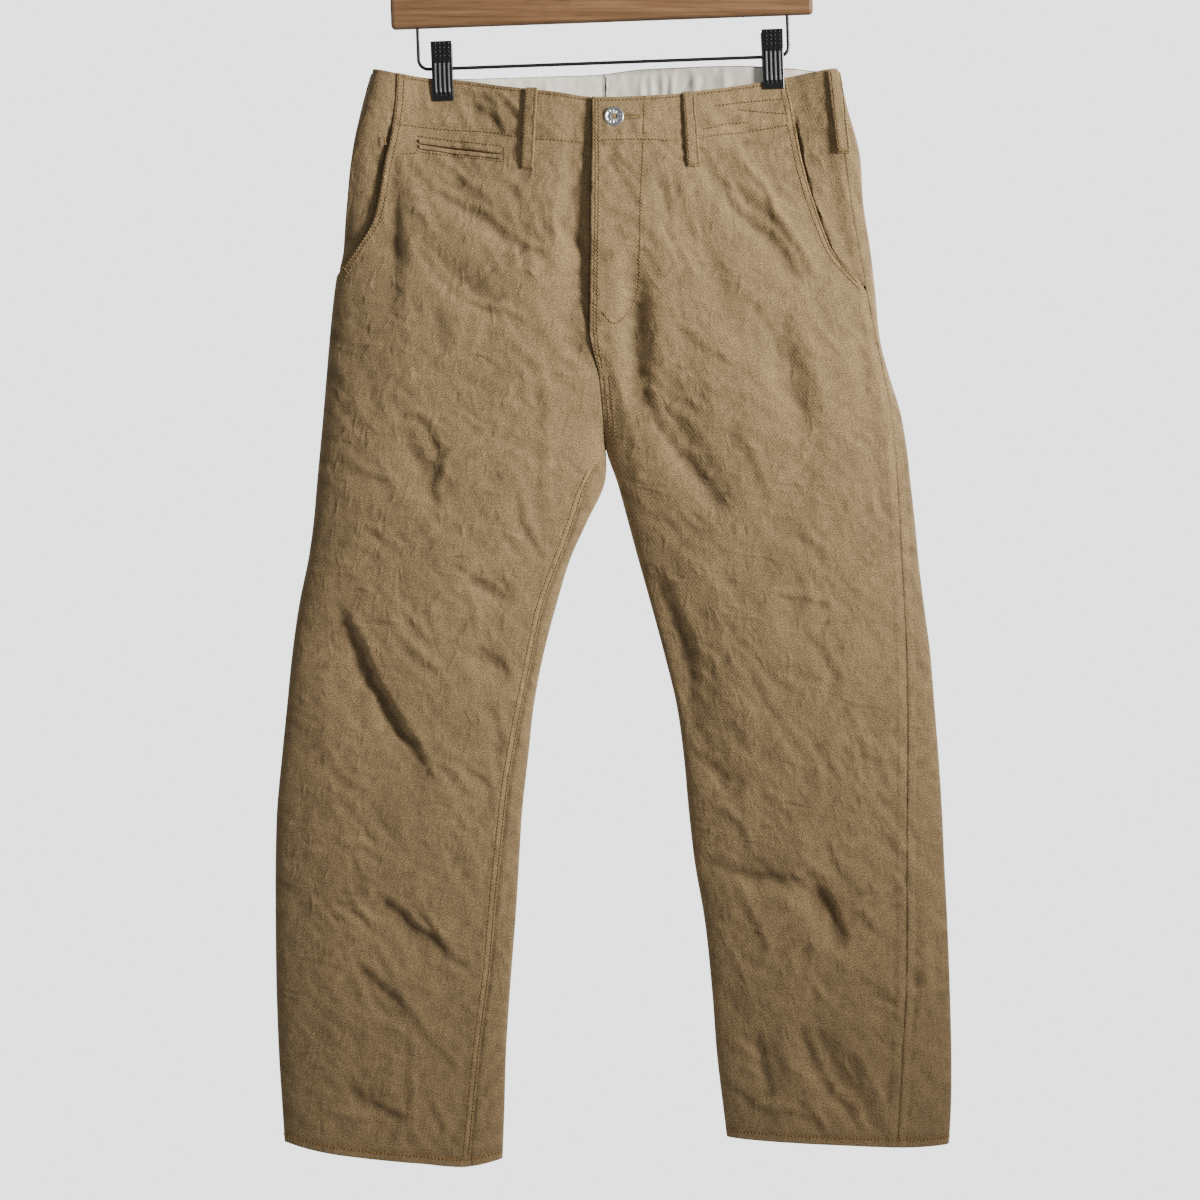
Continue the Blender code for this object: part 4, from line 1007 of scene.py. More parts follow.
for half in ("right", "left"):
    grid = panel_grid(half, side_seam, bearing_inner_bound, 44, np.linspace(0, 0.598, 80))
    g, drop = grid
    share = (g - g[:, :1]) / (pocket_edge(half, drop) - g[:, :1])
    opened = smoothstep(*MOUTH_OPENS, drop) * (1 - smoothstep(*MOUTH_CLOSES, drop))
    gape = BEHIND + POCKET_GAPE * opened + 1.5 * smoothstep(*MOUTH_SINKS, drop)
    share = np.maximum(share, smoothstep(*BEARING_FOOT, drop))
    edge = ring(half, pocket_edge(half, drop), drop)[0]
    away = np.abs(ring(half, g, drop)[0] - edge)
    slot = np.where(share < 1, 1 - smoothstep(0.3, SLOT_WIDTH, away), 1.0)
    slot *= SLOT_DEPTH * smoothstep(*SLOT_OPENS, drop) * (1 - smoothstep(*SLOT_CLOSES, drop))
    sunk = -gape * smoothstep(0.0, 0.6, share) - slot
    bearing = add_cloth("pocket_bearing_cloth_" + half, half, g, drop, TWILL, "twill",
                        THIN_WALL, sunk, 0.0)
    hang_sheet("pocket_bearing_" + half)


# ============================================================================ the sewing
# Lockstitched with a thick mustard thread: rows round the waist, along the pockets, the
# fly and the felled seams, each stitch a short raised dash that draws the cloth in.

def map_face(side):
    """y of the cloth's outer face at every place of one side of the garment."""
    is_front = side == "front"
    drop = RELIEF_DROP[:, None]
    place = np.linspace(-1, 1, 480)[None, :]
    centre = leg_edges("left", is_front, drop)[1]
    found = {}
    for half, step in (("right", 1), ("left", -1)):
        x, y = face_point(half, is_front, place + 0 * drop, drop + 0 * place)
        found[half] = np.array([np.interp(RELIEF_X, xs[::step], ys[::step])
                                for xs, ys in zip(x, y)])
    return np.where(RELIEF_X[None, :] < centre, found["right"], found["left"])


FACE_MAPS = {side: map_face(side) for side in ("front", "back")}


def cloth_at(side, x, drop, out=0.0):
    """x, y, z of the cloth's outer face at any x and drop, moved out along its normal."""
    face = FACE_MAPS[side]
    slope_x = (read_map(face, x + 1, drop) - read_map(face, x - 1, drop)) / 2
    slope_drop = (read_map(face, x, drop + 1) - read_map(face, x, drop - 1)) / 2
    normal = np.stack([-slope_x, 1 + 0 * slope_x, slope_drop], axis=-1)
    normal /= np.linalg.norm(normal, axis=-1, keepdims=True)
    sign = -1 if side == "front" else 1
    point = np.stack([x, read_map(face, x, drop), -drop], axis=-1)
    return point + sign * normal * (out + 0 * x)[..., None]


on_front = partial(cloth_at, "front")
on_back = partial(cloth_at, "back")

# Rings of a stitch: how far along it, its radius and how high it stands
STITCH_RINGS = ((0.0, 0.20, 0.05), (0.20, 0.50, 0.28), (0.80, 0.50, 0.28), (1.0, 0.20, 0.05))
STITCH_SIDES = 5
STITCH_PITCH = 3.6
STITCH_GAP = 1.1
AHEAD = 0.3
# The dark discs at the needle holes are painted shadow
HOLE_SHADOW_RADIUS = 0.62
HOLE_SHADOW_SIDES = 6


def stitch_stops(surface, rows, pitch, offsets):
    """Places this far past each stitch's start along the rows: one line for each offset."""
    stops = []
    for row in rows:
        path = smooth_path(row, 2.0)
        world = surface(path[:, 0], path[:, 1], 0.0 * path[:, 0])
        length = np.concatenate([[0], np.cumsum(np.linalg.norm(np.diff(world, axis=0), axis=1))])
        count = max(1, int(length[-1] / pitch))
        at = (np.arange(count) * length[-1] / count)[None, :] + np.array(offsets)[:, None]
        stops.append(np.stack([np.interp(at, length, path[:, 0]),
                               np.interp(at, length, path[:, 1])], axis=-1))
    return np.concatenate(stops, axis=1)


def repeat_faces(pattern, count, size):
    return [tuple(first + corner for corner in face)
            for first in range(0, count * size, size) for face in pattern]


def sew_rows(surface, rows, pitch=STITCH_PITCH, gap=STITCH_GAP, slant=0.10, thick=1.0):
    """Points and faces of the stitches along each row, a path of places on a surface."""
    offsets = [gap / 2 + share * (pitch - gap) for share, _, _ in STITCH_RINGS]
    here = stitch_stops(surface, rows, pitch, offsets)
    beyond = stitch_stops(surface, rows, pitch, [offset + AHEAD for offset in offsets])
    low = surface(here[..., 0], here[..., 1], 0 * here[..., 0])
    up = surface(here[..., 0], here[..., 1], 1 + 0 * here[..., 0]) - low
    ahead = surface(beyond[..., 0], beyond[..., 1], 0 * here[..., 0]) - low
    behind = low - np.roll(low, 1, axis=0)
    ahead = np.where(np.linalg.norm(ahead, axis=-1, keepdims=True) < AHEAD / 2, behind, ahead)
    ahead /= np.maximum(np.linalg.norm(ahead, axis=-1, keepdims=True), 1e-6)
    side = np.cross(ahead, up)
    share, radius, rise = np.array(STITCH_RINGS).T[:, :, None, None]
    radius, rise = radius * thick, rise * thick
    centre = low + up * rise + side * slant * (share - 0.5) * pitch
    rings = []
    for step in range(STITCH_SIDES):
        angle = 2 * math.pi * step / STITCH_SIDES
        rings.append(centre + radius * (math.cos(angle) * side + math.sin(angle) * up))
    points = np.stack(rings, axis=2).transpose(1, 0, 2, 3)
    pattern = []
    for first in range(0, 3 * STITCH_SIDES, STITCH_SIDES):
        for step in range(STITCH_SIDES):
            a, b = first + step, first + (step + 1) % STITCH_SIDES
            pattern.append((a, b, b + STITCH_SIDES, a + STITCH_SIDES))
    pattern.append(tuple(range(STITCH_SIDES))[::-1])
    pattern.append(tuple(range(3 * STITCH_SIDES, 4 * STITCH_SIDES)))
    size = 4 * STITCH_SIDES
    return points.reshape(-1, 3), repeat_faces(pattern, points.shape[0], size)


def paint_hole_shadows(surface, rows, pitch=STITCH_PITCH, radius=HOLE_SHADOW_RADIUS):
    """Points and faces of dark discs of painted shadow at the needle holes between the stitches of each
    row.
    """
    here = stitch_stops(surface, rows, pitch, [0.0])[0]
    low = surface(here[:, 0], here[:, 1], 0.10 + 0 * here[:, 0])
    up = surface(here[:, 0], here[:, 1], 1.10 + 0 * here[:, 0]) - low
    side = np.cross(up, np.array([0.0, 0.0, 1.0]))
    side /= np.maximum(np.linalg.norm(side, axis=-1, keepdims=True), 1e-6)
    other = np.cross(up, side)
    ring = []
    for step in range(HOLE_SHADOW_SIDES):
        angle = 2 * math.pi * step / HOLE_SHADOW_SIDES
        ring.append(low + radius * (math.cos(angle) * side + 1.15 * math.sin(angle) * other))
    top = low[:, None] + 0 * up[:, None]
    rim = np.stack(ring, axis=1)
    foot = rim - 0.5 * up[:, None]
    points = np.concatenate([top, rim, foot], axis=1)
    pattern = []
    for step in range(HOLE_SHADOW_SIDES):
        a, b = 1 + step, 1 + (step + 1) % HOLE_SHADOW_SIDES
        pattern += [(0, a, b), (a, a + HOLE_SHADOW_SIDES, b + HOLE_SHADOW_SIDES, b)]
    pattern.append(tuple(range(1 + HOLE_SHADOW_SIDES, 1 + 2 * HOLE_SHADOW_SIDES)))
    return points.reshape(-1, 3), repeat_faces(pattern, len(points), points.shape[1])


def spin_thread(name, colour):
    thread, shader = new_finish(name, Roughness=0.62, Sheen_Weight=0.3)
    plies = stretched_noise(thread, on_object(thread), (900, 900, 900), 2.0)
    tones = ((0.3, [0.62 * part for part in colour]), (0.7, [1.25 * part for part in colour]))
    connect(thread, add_ramp(thread, plies, tones), shader, "Base Color")
    return thread


MUSTARD_THREAD = spin_thread("mustard_thread", (0.30, 0.185, 0.060))
# Dark twill colour painted where only shadow falls: the needle holes and the coin pocket's slit
PAINTED_SHADOW_TWILL, shader = new_finish("painted_shadow_twill", Base_Color=(0.050, 0.028, 0.010, 1.0),
                                  Roughness=0.95, Specular_IOR_Level=0.1)


def add_sewing(name, parts, material):
    """One mesh of all the stitches in a list of (points, faces)."""
    points, faces, first = [], [], 0
    for part_points, part_faces in parts:
        points.append(part_points)
        faces += [tuple(first + corner for corner in face) for face in part_faces]
        first += len(part_points)
    mesh = build_mesh(name, (np.concatenate(points) * MM).tolist(), faces)
    return finish_mesh(name, mesh, material)


def shifted(rows, inward, top, bottom):
    """A path beside a seam: places a set distance to its right, from one drop to another."""
    drops = np.linspace(top, bottom, max(3, int((bottom - top) / 25)))
    return [(float(seam(rows, drop)) + inward, drop) for drop in drops]


def waist_row(side, below, first, last):
    stops = np.linspace(first, last, max(3, int((last - first) / 12)))
    return [(x, float(waist_line(x, side)) + below) for x in stops]


# Places along each row, right to left and from the top down
FRONT_RIGHT_ROWS = [
    waist_row("front", TOP_ROW, -196, -9),
    [(-200, 221), (-150, 226), (-98, 231), (-76, 236), (-40, 239), (-12, 241)],
    shifted(POCKETS["right"], TOPSTITCH_NEAR, 172, 372),
    shifted(POCKETS["right"], TOPSTITCH_FAR, 172, 378),
    [(-195, 251), (-179, 250)],
    shifted(RIGHT_INSEAM, -TOPSTITCH_NEAR, 560, 1250),
    shifted(RIGHT_INSEAM, -TOPSTITCH_FAR, 565, 1250)]
FRONT_LEFT_ROWS = [
    waist_row("front", TOP_ROW, -1, 183),
    [(0, 240), (43, 238.5), (78, 239)],
    [(104, 235), (150, 228), (191, 221)],
    [(117, 203), (150, 198), (186, 194.5)],
    [(140, 206), (165, 208), (191, 210)],
    [(105, 227), (128, 221), (149, 218)],
    shifted(POCKETS["left"], -TOPSTITCH_NEAR, 170, 380),
    shifted(POCKETS["left"], -TOPSTITCH_FAR, 170, 386),
    [(-2.5, 198), (-2.5, 300), (-3.5, 389), (-3, 440), (2, 468)],
    [(0.5, 198), (0.5, 300), (-0.5, 389), (0, 440), (5, 466)],
    [(46, 196), (45, 239), (42, 300), (41, 354), (39, 389), (31, 409), (15, 422), (3, 410)],
    [(6, 474), (9, 500), (12, 532)],
    [(11, 474), (14, 500), (17, 532)]]
BACK_ROWS = [
    waist_row("back", TOP_ROW, -215, 3),
    waist_row("back", TOP_ROW, 14, 232),
    waist_row("back", FACING_DEPTH, -200, 2),
    waist_row("back", FACING_DEPTH, 14, 220),
    [(8 - TOPSTITCH_NEAR, 172), (7 - TOPSTITCH_NEAR, 300), (6 - TOPSTITCH_NEAR, 395)],
    [(8 - TOPSTITCH_FAR, 172), (7 - TOPSTITCH_FAR, 300), (6 - TOPSTITCH_FAR, 395)]]
for rows, surface, name in ((FRONT_RIGHT_ROWS, on_front, "topstitching_right"),
                            (FRONT_LEFT_ROWS, on_front, "topstitching_left"),
                            (BACK_ROWS, on_back, "topstitching_back")):
    add_sewing(name, [sew_rows(surface, rows)], MUSTARD_THREAD)
    # The dark discs at the needle holes are painted shadow
    add_sewing(name + "_hole_shadows", [paint_hole_shadows(surface, rows)], PAINTED_SHADOW_TWILL)


# ============================================================================== the hems
# Both hems are turned up twice.  One row of thick orange-gold thread, close to the upper
# edge of the turning, goes right round each leg and holds it.

HEM_THREAD = spin_thread("hem_thread", (0.50, 0.235, 0.055))
ROUND_SCALE = 100        # about the millimetres of cloth for a unit of place round a leg
HEM_ROW_IN = 1.4         # from the turning's upper edge down to the stitches

for half in ("right", "left"):
    stops = np.linspace(0.97, -2.96, 60)
    drops = np.full(stops.shape, MEAN_HEM_DROP)
    for _ in range(4):
        drops = hem_drop(ring(half, stops, drops)[0]) - HEM_DEPTH + HEM_ROW_IN
    rows = [list(zip(ROUND_SCALE * stops, drops))]

    def round_hem(a, drop, out):
        return cloth_round(half, a / ROUND_SCALE, drop, out)

    add_sewing("hem_stitching_" + half, [sew_rows(round_hem, rows)], HEM_THREAD)
    # The dark discs at the hem's needle holes are painted shadow
    add_sewing("hem_hole_shadows_" + half, [paint_hole_shadows(round_hem, rows)], PAINTED_SHADOW_TWILL)


# ====================================================================== the coin pocket
# A small slit pocket on the right front.  Two narrow folded lips of the same twill meet
# over its mouth, and a stitched frame fixes them to the front.

WELT_FIRST_X, WELT_LAST_X = -178.0, -95.0
SLIT_START, SLIT_END = 240.5, 252.5
LIP = 5.0
LIP_FOLD = 0.455         # the share of a lip's width that its round folded edge takes
across = np.linspace(0, 1, 44)
for name, sign in (("upper", -1), ("lower", 1)):
    x = WELT_FIRST_X + (WELT_LAST_X - WELT_FIRST_X) * across[None, :]
    slit = SLIT_START + (SLIT_END - SLIT_START) * across[None, :]
    turn = np.linspace(0, 1, 9)[:, None]
    bowed = 0.5 * np.sin(math.pi * across)[None, :]
    drop = slit + sign * (0.45 + bowed + (LIP - 0.5) * turn)
    rounded = 0.4 + 1.15 * np.sqrt(np.clip(1 - (1 - turn * 2.2) ** 2, 0, 1))
    rise = np.where(turn < LIP_FOLD, rounded, 0.4 + (1.55 - 0.5 * (turn - LIP_FOLD)))
    points = cloth_at("front", x + 0 * drop, drop, rise + 0 * drop)
    weave = np.stack([x + 0 * drop, drop, 0 * drop], axis=-1)
    mesh = cloth_mesh("coin_welt_cloth_" + name, points, 0.5, weave, 0.55 + 0 * drop)
    welt = finish_mesh("coin_welt_cloth_" + name, mesh, TWILL)
    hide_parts("coin_welt_" + name)
# A dark strip of painted shadow along the slit between the lips
stops = np.linspace(WELT_FIRST_X + 1, WELT_LAST_X - 1, 40)[None, :]
drop = SLIT_START + (SLIT_END - SLIT_START) * (stops - WELT_FIRST_X) / (WELT_LAST_X - WELT_FIRST_X)
drop = drop + np.array([-1.3, 1.3])[:, None]
points = cloth_at("front", stops + 0 * drop, drop, 0.35 + 0 * drop)
mouth = cloth_mesh("coin_pocket_slit_shadow", points, 0.3, 0 * points, 0 * drop)
finish_mesh("coin_pocket_slit_shadow", mouth, PAINTED_SHADOW_TWILL)
frame_rows = [[(-179, 232.5), (-94, 244)], [(-93.5, 245), (-93, 259)],
              [(-94, 260), (-179, 248.5)], [(-180, 247.5), (-180, 233.5)]]
add_sewing("coin_pocket_stitching", [sew_rows(on_front, frame_rows, thick=0.9)], MUSTARD_THREAD)
# The dark discs at the frame's needle holes are painted shadow
add_sewing("coin_pocket_hole_shadows", [paint_hole_shadows(on_front, frame_rows)], PAINTED_SHADOW_TWILL)


# =============================================================================== the fly
# The underlap is a strip of twill that carries the fly's hidden buttons.  It is sewn to
# the right front and lies behind the lapped left front.

hip_levels = np.linspace(0, 0.71, 90)
g, drop = panel_grid("left", front_outer_bound, inseam, COLUMNS, hip_levels)
g, drop = g[:, -24:], drop[:, -24:]
behind = np.maximum(seam(FLY_RECESS, drop), BEHIND)
x = ring("left", g, drop)[0]
under = np.clip((x - x[:, -1:]) / (x[:, :1] - x[:, -1:]), 0.0, 1.0)
shield = add_cloth("fly_underlap", "left", g, drop, TWILL, "twill", THIN_WALL,
                   -(behind + (BEHIND - behind) * under), 0.0)
hang_sheet("fly_shield")


# ====================================================================== the waist facing
# A strip of plain ecru cotton in two halves, folded and felled inside the back waist.  It
# puckered where it was sewn in, and lies flat where the clips bite.

def weave_ecru():
    ecru, shader = new_finish("ecru_cotton", Roughness=0.9, Sheen_Weight=0.15)
    place = add_node(ecru, "Attribute", attribute_name="weave").outputs["Vector"]
    threads = stretched_noise(ecru, place, (900, 900, 1), 2.0)
    stains = stretched_noise(ecru, place, (35, 18, 1), 3.0)
    base = add_ramp(ecru, threads, ((0.3, (0.86, 0.82, 0.70)), (0.7, (0.98, 0.95, 0.87))))
    shade = add_ramp(ecru, stains, ((0.3, (0.93, 0.91, 0.86)), (0.7, (1.05, 1.05, 1.04))))
    connect(ecru, blend_colours(ecru, "MULTIPLY", 1.0, base, shade), shader, "Base Color")
    connect(ecru, add_bump(ecru, threads, 0.5, 0.0004), shader, "Normal")
    return ecru


ECRU = weave_ecru()
FACING_END = {"right": 206.0, "left": 228.0}    # from the centre front's x = 0
FACING_PUCKERS = ((-118, 3.5), (-84, 4.5), (-52, 4.0), (44, 3.0), (54, 2.6), (66, 3.2), (75, 3.0),
                  (98, 4.2), (128, 4.0))

PUCKER_HEIGHT = 1.7
FACING_LEVELS = np.linspace(0.004, 0.155, 28)

for half in ("right", "left"):
    g, drop = panel_grid(half, side_seam, back_inner_bound, 190, FACING_LEVELS)
    x = ring(half, g, drop)[0]
    inside = np.abs(x[0]) < FACING_END[half]
    g, drop, x = g[:, inside], drop[:, inside], x[:, inside]
    open_waist = smoothstep(8, 40, np.abs(x - clip_x(half)))
    away = 0.1 + 0.5 * open_waist
    below_top = smoothstep(0, 14, drop - drop[:1])
    for at, width in FACING_PUCKERS:
        away = away + PUCKER_HEIGHT * np.exp(-((x - at) / width) ** 2) * below_top
    away = away + 0.5 * open_waist * (1 + perlin(x / 9, drop / 16, 44))
    facing = add_cloth("waist_facing_cloth_" + half, half, g, drop, ECRU, "ecru_cotton", 0.5,
                       -(WALL + away), 0.0)
    hang_sheet("waist_facing_" + half)


# ======================================================================== the belt loops
# Five strips of twill with folded edges, edge-stitched along both sides and bar-tacked at
# the foot.  Each stands a little off the cloth between its ends.

LOOP_WIDTH = 12.5
LOOP_WALL = 1.8
LOOP_ROW_IN = 2.0        # from each edge in to its row of stitches
LOOP_TACK = 4.0
LOOP_LENGTH = 80         # the length on which its stitches are laid out
SIDE_LOOP_TOP = 168.0
SIDE_LOOP_LENGTH = 82.0


def loop_rise(share):
    return LOOP_WALL + 0.7 + 1.8 * np.sin(math.pi * np.clip(share, 0, 1)) ** 0.6


def make_loop(name, surface):
    """A loop and its stitches; surface(across, share, out) gives places on its strip."""
    share = np.linspace(0, 1, 60)[:, None]
    across = np.linspace(-0.5, 0.5, 15)[None, :] * LOOP_WIDTH
    edge = np.clip((LOOP_WIDTH / 2 - np.abs(across)) / 1.1, 0, 1)
    rounded = -1.0 * (1 - np.sqrt(1 - (1 - edge) ** 2))
    seam_dip = -0.35 * np.exp(-((np.abs(across) - LOOP_WIDTH / 2 + LOOP_ROW_IN) / 0.8) ** 2)
    lumps = 0.3 * perlin(share * 9, across / 7, 91)
    rise = loop_rise(share) + rounded + seam_dip + lumps
    foot = smoothstep(0, 0.02, share) * smoothstep(0, 0.02, 1 - share)
    points = surface(across + 0 * share, share + 0 * across, rise - 0.6 * (1 - foot))
    weave = np.stack([across + 0 * share, 90 * share + 0 * across, 0 * rise], axis=-1)
    wear_and_shade_tone = 0.5 + 0.22 * (1 - edge) + 0.10 * lumps + 0 * rise
    mesh = cloth_mesh(name, points, LOOP_WALL, weave, wear_and_shade_tone)
    loop = finish_mesh(name, mesh, TWILL)
    stops = np.linspace(0.03, 0.97, 12) * LOOP_LENGTH
    rows = [[(side * (LOOP_WIDTH / 2 - LOOP_ROW_IN), at) for at in stops] for side in (-1, 1)]
    starts = [-4.6 + step * 1.15 for step in range(9)]
    tacks = [[(at, LOOP_LENGTH - LOOP_TACK), (at + 0.5, 79.2)] for at in starts]

    def lay(a, b, out):
        return surface(a, b / LOOP_LENGTH, loop_rise(b / LOOP_LENGTH) + out)

    sewn = [sew_rows(lay, rows, pitch=3.2, thick=0.9), sew_rows(lay, tacks, pitch=3.4, gap=0.1)]
    return loop, sewn, paint_hole_shadows(lay, rows, pitch=3.2, radius=0.5)


def loop_on_side(face, x_top, x_bottom, top, bottom):
    """Where a loop lies that shows from the front or the back."""
    def place_on_loop(across, share, out):
        return face(x_top + (x_bottom - x_top) * share + across, top + (bottom - top) * share, out)

    return place_on_loop


def loop_on_seam(half):
    """Where the loop over a side seam lies, bent round the hip."""
    def place_on_loop(across, share, out):
        drop = SIDE_LOOP_TOP + SIDE_LOOP_LENGTH * share
        g = side_seam(half, drop)
        speed = np.hypot(*face_tangent(half, *locate(g), drop, folded=False))
        return cloth_round(half, g + across / speed, drop, out)

    return place_on_loop


LOOPS = {"front_right": loop_on_side(on_front, -66.0, -70.0, 186.0, 268.0),
         "front_left": loop_on_side(on_front, 89.5, 94.5, 190.0, 266.0),
         "back": loop_on_side(on_back, 9.0, 9.5, 166.0, 252.0),
         "side_right": loop_on_seam("right"), "side_left": loop_on_seam("left")}
parts, hole_shadows = [], []
for name, surface in LOOPS.items():
    loop, sewn, pricked_shadows = make_loop("belt_loop_cloth_" + name, surface)
    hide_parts("belt_loop_" + name)
    parts += sewn
    hole_shadows.append(pricked_shadows)
add_sewing("belt_loop_stitching", parts, MUSTARD_THREAD)
# The dark discs at the loops' needle holes are painted shadow
add_sewing("belt_loop_hole_shadows", hole_shadows, PAINTED_SHADOW_TWILL)


# ========================================================================== the bar tacks
# Short dense bars of mustard thread, zigzagged by machine, hold the ends of the pocket
# mouths and the fly's foot.

# x, drop, length and turn of each; its threads lie a pitch apart
TACK_PITCH = 0.8
TACKS = ((-212, 238, 9, 80), (-252, 366, 9, 50), (197, 226, 8, 75), (244, 368, 8, 40),
         (2, 452, 8, 10))
parts = []
for x, drop, length, turn in TACKS:
    run_x, run_drop = math.cos(math.radians(turn)), math.sin(math.radians(turn))
    rows = []
    for step in range(int(length / TACK_PITCH)):
        at = -length / 2 + step * TACK_PITCH
        a, b = x + run_x * at, drop + run_drop * at
        rows.append([(a - run_drop * 1.0, b + run_x * 1.0), (a + run_drop * 1.0, b - run_x * 1.0)])
    parts.append(sew_rows(on_front, rows, pitch=2.0, gap=0.05, thick=0.9))
add_sewing("bar_tacks", parts, MUSTARD_THREAD)


# ================================================================== the waist button
# A plated jeans button: a ring with a rolled rim round a hollow, and a riveted centre.
# It passes through a keyhole buttonhole, oversewn with mustard thread.

BUTTON_X, BUTTON_DROP = 16.0, 216.0
# Half of the button's outline, from its rim at the cloth to the rivet in the middle
BUTTON_PROFILE = table(
    "radius height",
    (9.2, 0.0), (10.0, 0.7), (10.0, 1.5), (9.7, 2.3), (9.1, 2.8), (8.4, 2.9), (7.7, 2.6),
    (7.0, 2.15), (5.8, 2.0), (4.6, 2.1), (3.6, 2.2), (3.2, 2.0), (3.0, 1.0), (2.7, 0.7),
    (1.6, 0.7), (1.2, 1.1), (0.5, 1.3))
BUTTON_STEPS = 96
BUTTON_NICKS = 12        # small dents round the hollow
NICK_DEPTH = 0.45
HOLLOW = (3.4, 7.4)      # its inner and outer radius
RIVET_RADIUS = 3.1

cloth_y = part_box("waist_button")[1].y
base = Vector((BUTTON_X * MM, cloth_y, -BUTTON_DROP * MM))
points = []
for turn in BUTTON_PROFILE:
    for step in range(BUTTON_STEPS):
        angle = 2 * math.pi * step / BUTTON_STEPS
        nick = -NICK_DEPTH * max(0.0, math.cos(BUTTON_NICKS * angle)) ** 2
        hollow = 1.0 if HOLLOW[0] < turn.radius < HOLLOW[1] else 0.0
        height = turn.height + nick * hollow
        points.append((base.x + turn.radius * MM * math.cos(angle), base.y - height * MM,
                       base.z + turn.radius * MM * math.sin(angle)))
faces = []
for row in range(len(BUTTON_PROFILE) - 1):
    for step in range(BUTTON_STEPS):
        a = row * BUTTON_STEPS + step
        b = row * BUTTON_STEPS + (step + 1) % BUTTON_STEPS
        faces.append((a, a + BUTTON_STEPS, b + BUTTON_STEPS, b))
faces.append(tuple(range(BUTTON_STEPS)))
last_ring = (len(BUTTON_PROFILE) - 1) * BUTTON_STEPS
faces.append(tuple(last_ring + step for step in reversed(range(BUTTON_STEPS))))
mesh = build_mesh("jeans_button", points, faces)

worn_metal, shader = new_finish("worn_button_metal", Metallic=1.0, Roughness=0.3)
tarnish = stretched_noise(worn_metal, on_object(worn_metal), (420, 420, 420), 3.0)
tones = ((0.3, (0.42, 0.43, 0.44)), (0.65, (0.74, 0.75, 0.76)))
connect(worn_metal, add_ramp(worn_metal, tarnish, tones), shader, "Base Color")
connect(worn_metal, add_ramp(worn_metal, tarnish, ((0.3, 0.50), (0.7, 0.22))), shader, "Roughness")
button = finish_mesh("jeans_button", mesh, worn_metal)
oxidised, shader = new_finish("oxidised_metal", Base_Color=(0.035, 0.037, 0.042, 1.0),
                              Metallic=0.8, Roughness=0.55)
mesh.materials.append(oxidised)
for polygon in mesh.polygons:
    if math.hypot(polygon.center.x - base.x, polygon.center.z - base.z) < RIVET_RADIUS * MM:
        polygon.material_index = 1
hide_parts("waist_button")

# The keyhole's slit runs to the left, and its round end is beyond HOLE_END
HOLE_START, HOLE_END = 26.0, 40.0
hole_rows = []
for step in range(13):
    x = HOLE_START + (HOLE_END - HOLE_START) * step / 12
    for side in (-1, 1):
        hole_rows.append([(x, BUTTON_DROP + side * 0.4), (x + 0.3, BUTTON_DROP + side * 2.9)])
for step in range(5):
    angle = math.radians(-60 + 30 * step)
    hole_rows.append([(HOLE_END + 0.5 * math.cos(angle), BUTTON_DROP + 0.5 * math.sin(angle)),
                      (HOLE_END + 3.0 * math.cos(angle), BUTTON_DROP + 3.0 * math.sin(angle))])
add_sewing("buttonhole", [sew_rows(on_front, hole_rows, pitch=2.5, gap=0.0, thick=1.0)],
           MUSTARD_THREAD)


# ======================================================================= the hanger's bar
# A plain bar of brown wood, sawn from a board with the grain along it, sanded round at its
# edges and waxed.  The hook's ferrule and the ends of the clip wire are set into it.

def wax_wood():
    wood, shader = new_finish("waxed_wood", Roughness=0.42, Coat_Weight=0.25, Coat_Roughness=0.3)
    place = on_object(wood)
    grain = stretched_noise(wood, place, (9, 200, 260), 5.0, 0.6)
    pores = stretched_noise(wood, place, (45, 1500, 1500), 2.0)
    figure = stretched_noise(wood, place, (5, 30, 34), 3.0, 0.5)
    base = add_ramp(wood, grain, ((0.25, (0.150, 0.075, 0.032)), (0.5, (0.255, 0.135, 0.060)),
                                  (0.75, (0.360, 0.205, 0.098))))
    tone = add_ramp(wood, figure, ((0.3, (0.78, 0.74, 0.70)), (0.7, (1.22, 1.20, 1.15))))
    base = blend_colours(wood, "MULTIPLY", 1.0, base, tone)
    base = blend_colours(wood, "MULTIPLY", 0.6, base,
                         add_ramp(wood, pores, ((0.32, 0.45), (0.45, 1.0))))
    connect(wood, base, shader, "Base Color")
    connect(wood, add_bump(wood, pores, 0.35, 0.0004), shader, "Normal")
    return wood


def repaint(node, material):
    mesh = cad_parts[node].data
    mesh.materials.clear()
    mesh.materials.append(material)


repaint("hanger_bar", wax_wood())


# ============================================================ the hook and the clip wire
# Bent steel wire: the plated hook stands on a ferrule in the bar, and the black one comes
# down from the bar's underside and runs level for the clips to slide on.

BAR_TOP = -72.0
BAR_BOTTOM = -117.0
HOOK_RADIUS = 1.9
HOOK_THROAT = 19.0
FERRULE_HEIGHT = 4.0
WIRE_RADIUS = 1.7
WIRE_HALF_SPAN = 185.0
WIRE_DROP = 158.0
WIRE_BEND = 10.0
CLEARANCE = 0.3          # between the wire and the bar, and twice that at the hook


def tilt(points):
    """Hanger coordinates (x, y, z) turned to the hanger's own slope."""
    points = np.asarray(points, float)
    cosine, sine = math.cos(HANGER_TILT), math.sin(HANGER_TILT)
    x = points[..., 0] * cosine - points[..., 2] * sine
    z = points[..., 0] * sine + points[..., 2] * cosine
    return np.stack([x, points[..., 1], z], axis=-1)


def arc(centre, radius, start, end, steps):
    angles = np.radians(np.linspace(start, end, steps + 1))
    return [(centre[0] + radius * math.cos(a), 0.0, centre[1] + radius * math.sin(a))
            for a in angles]


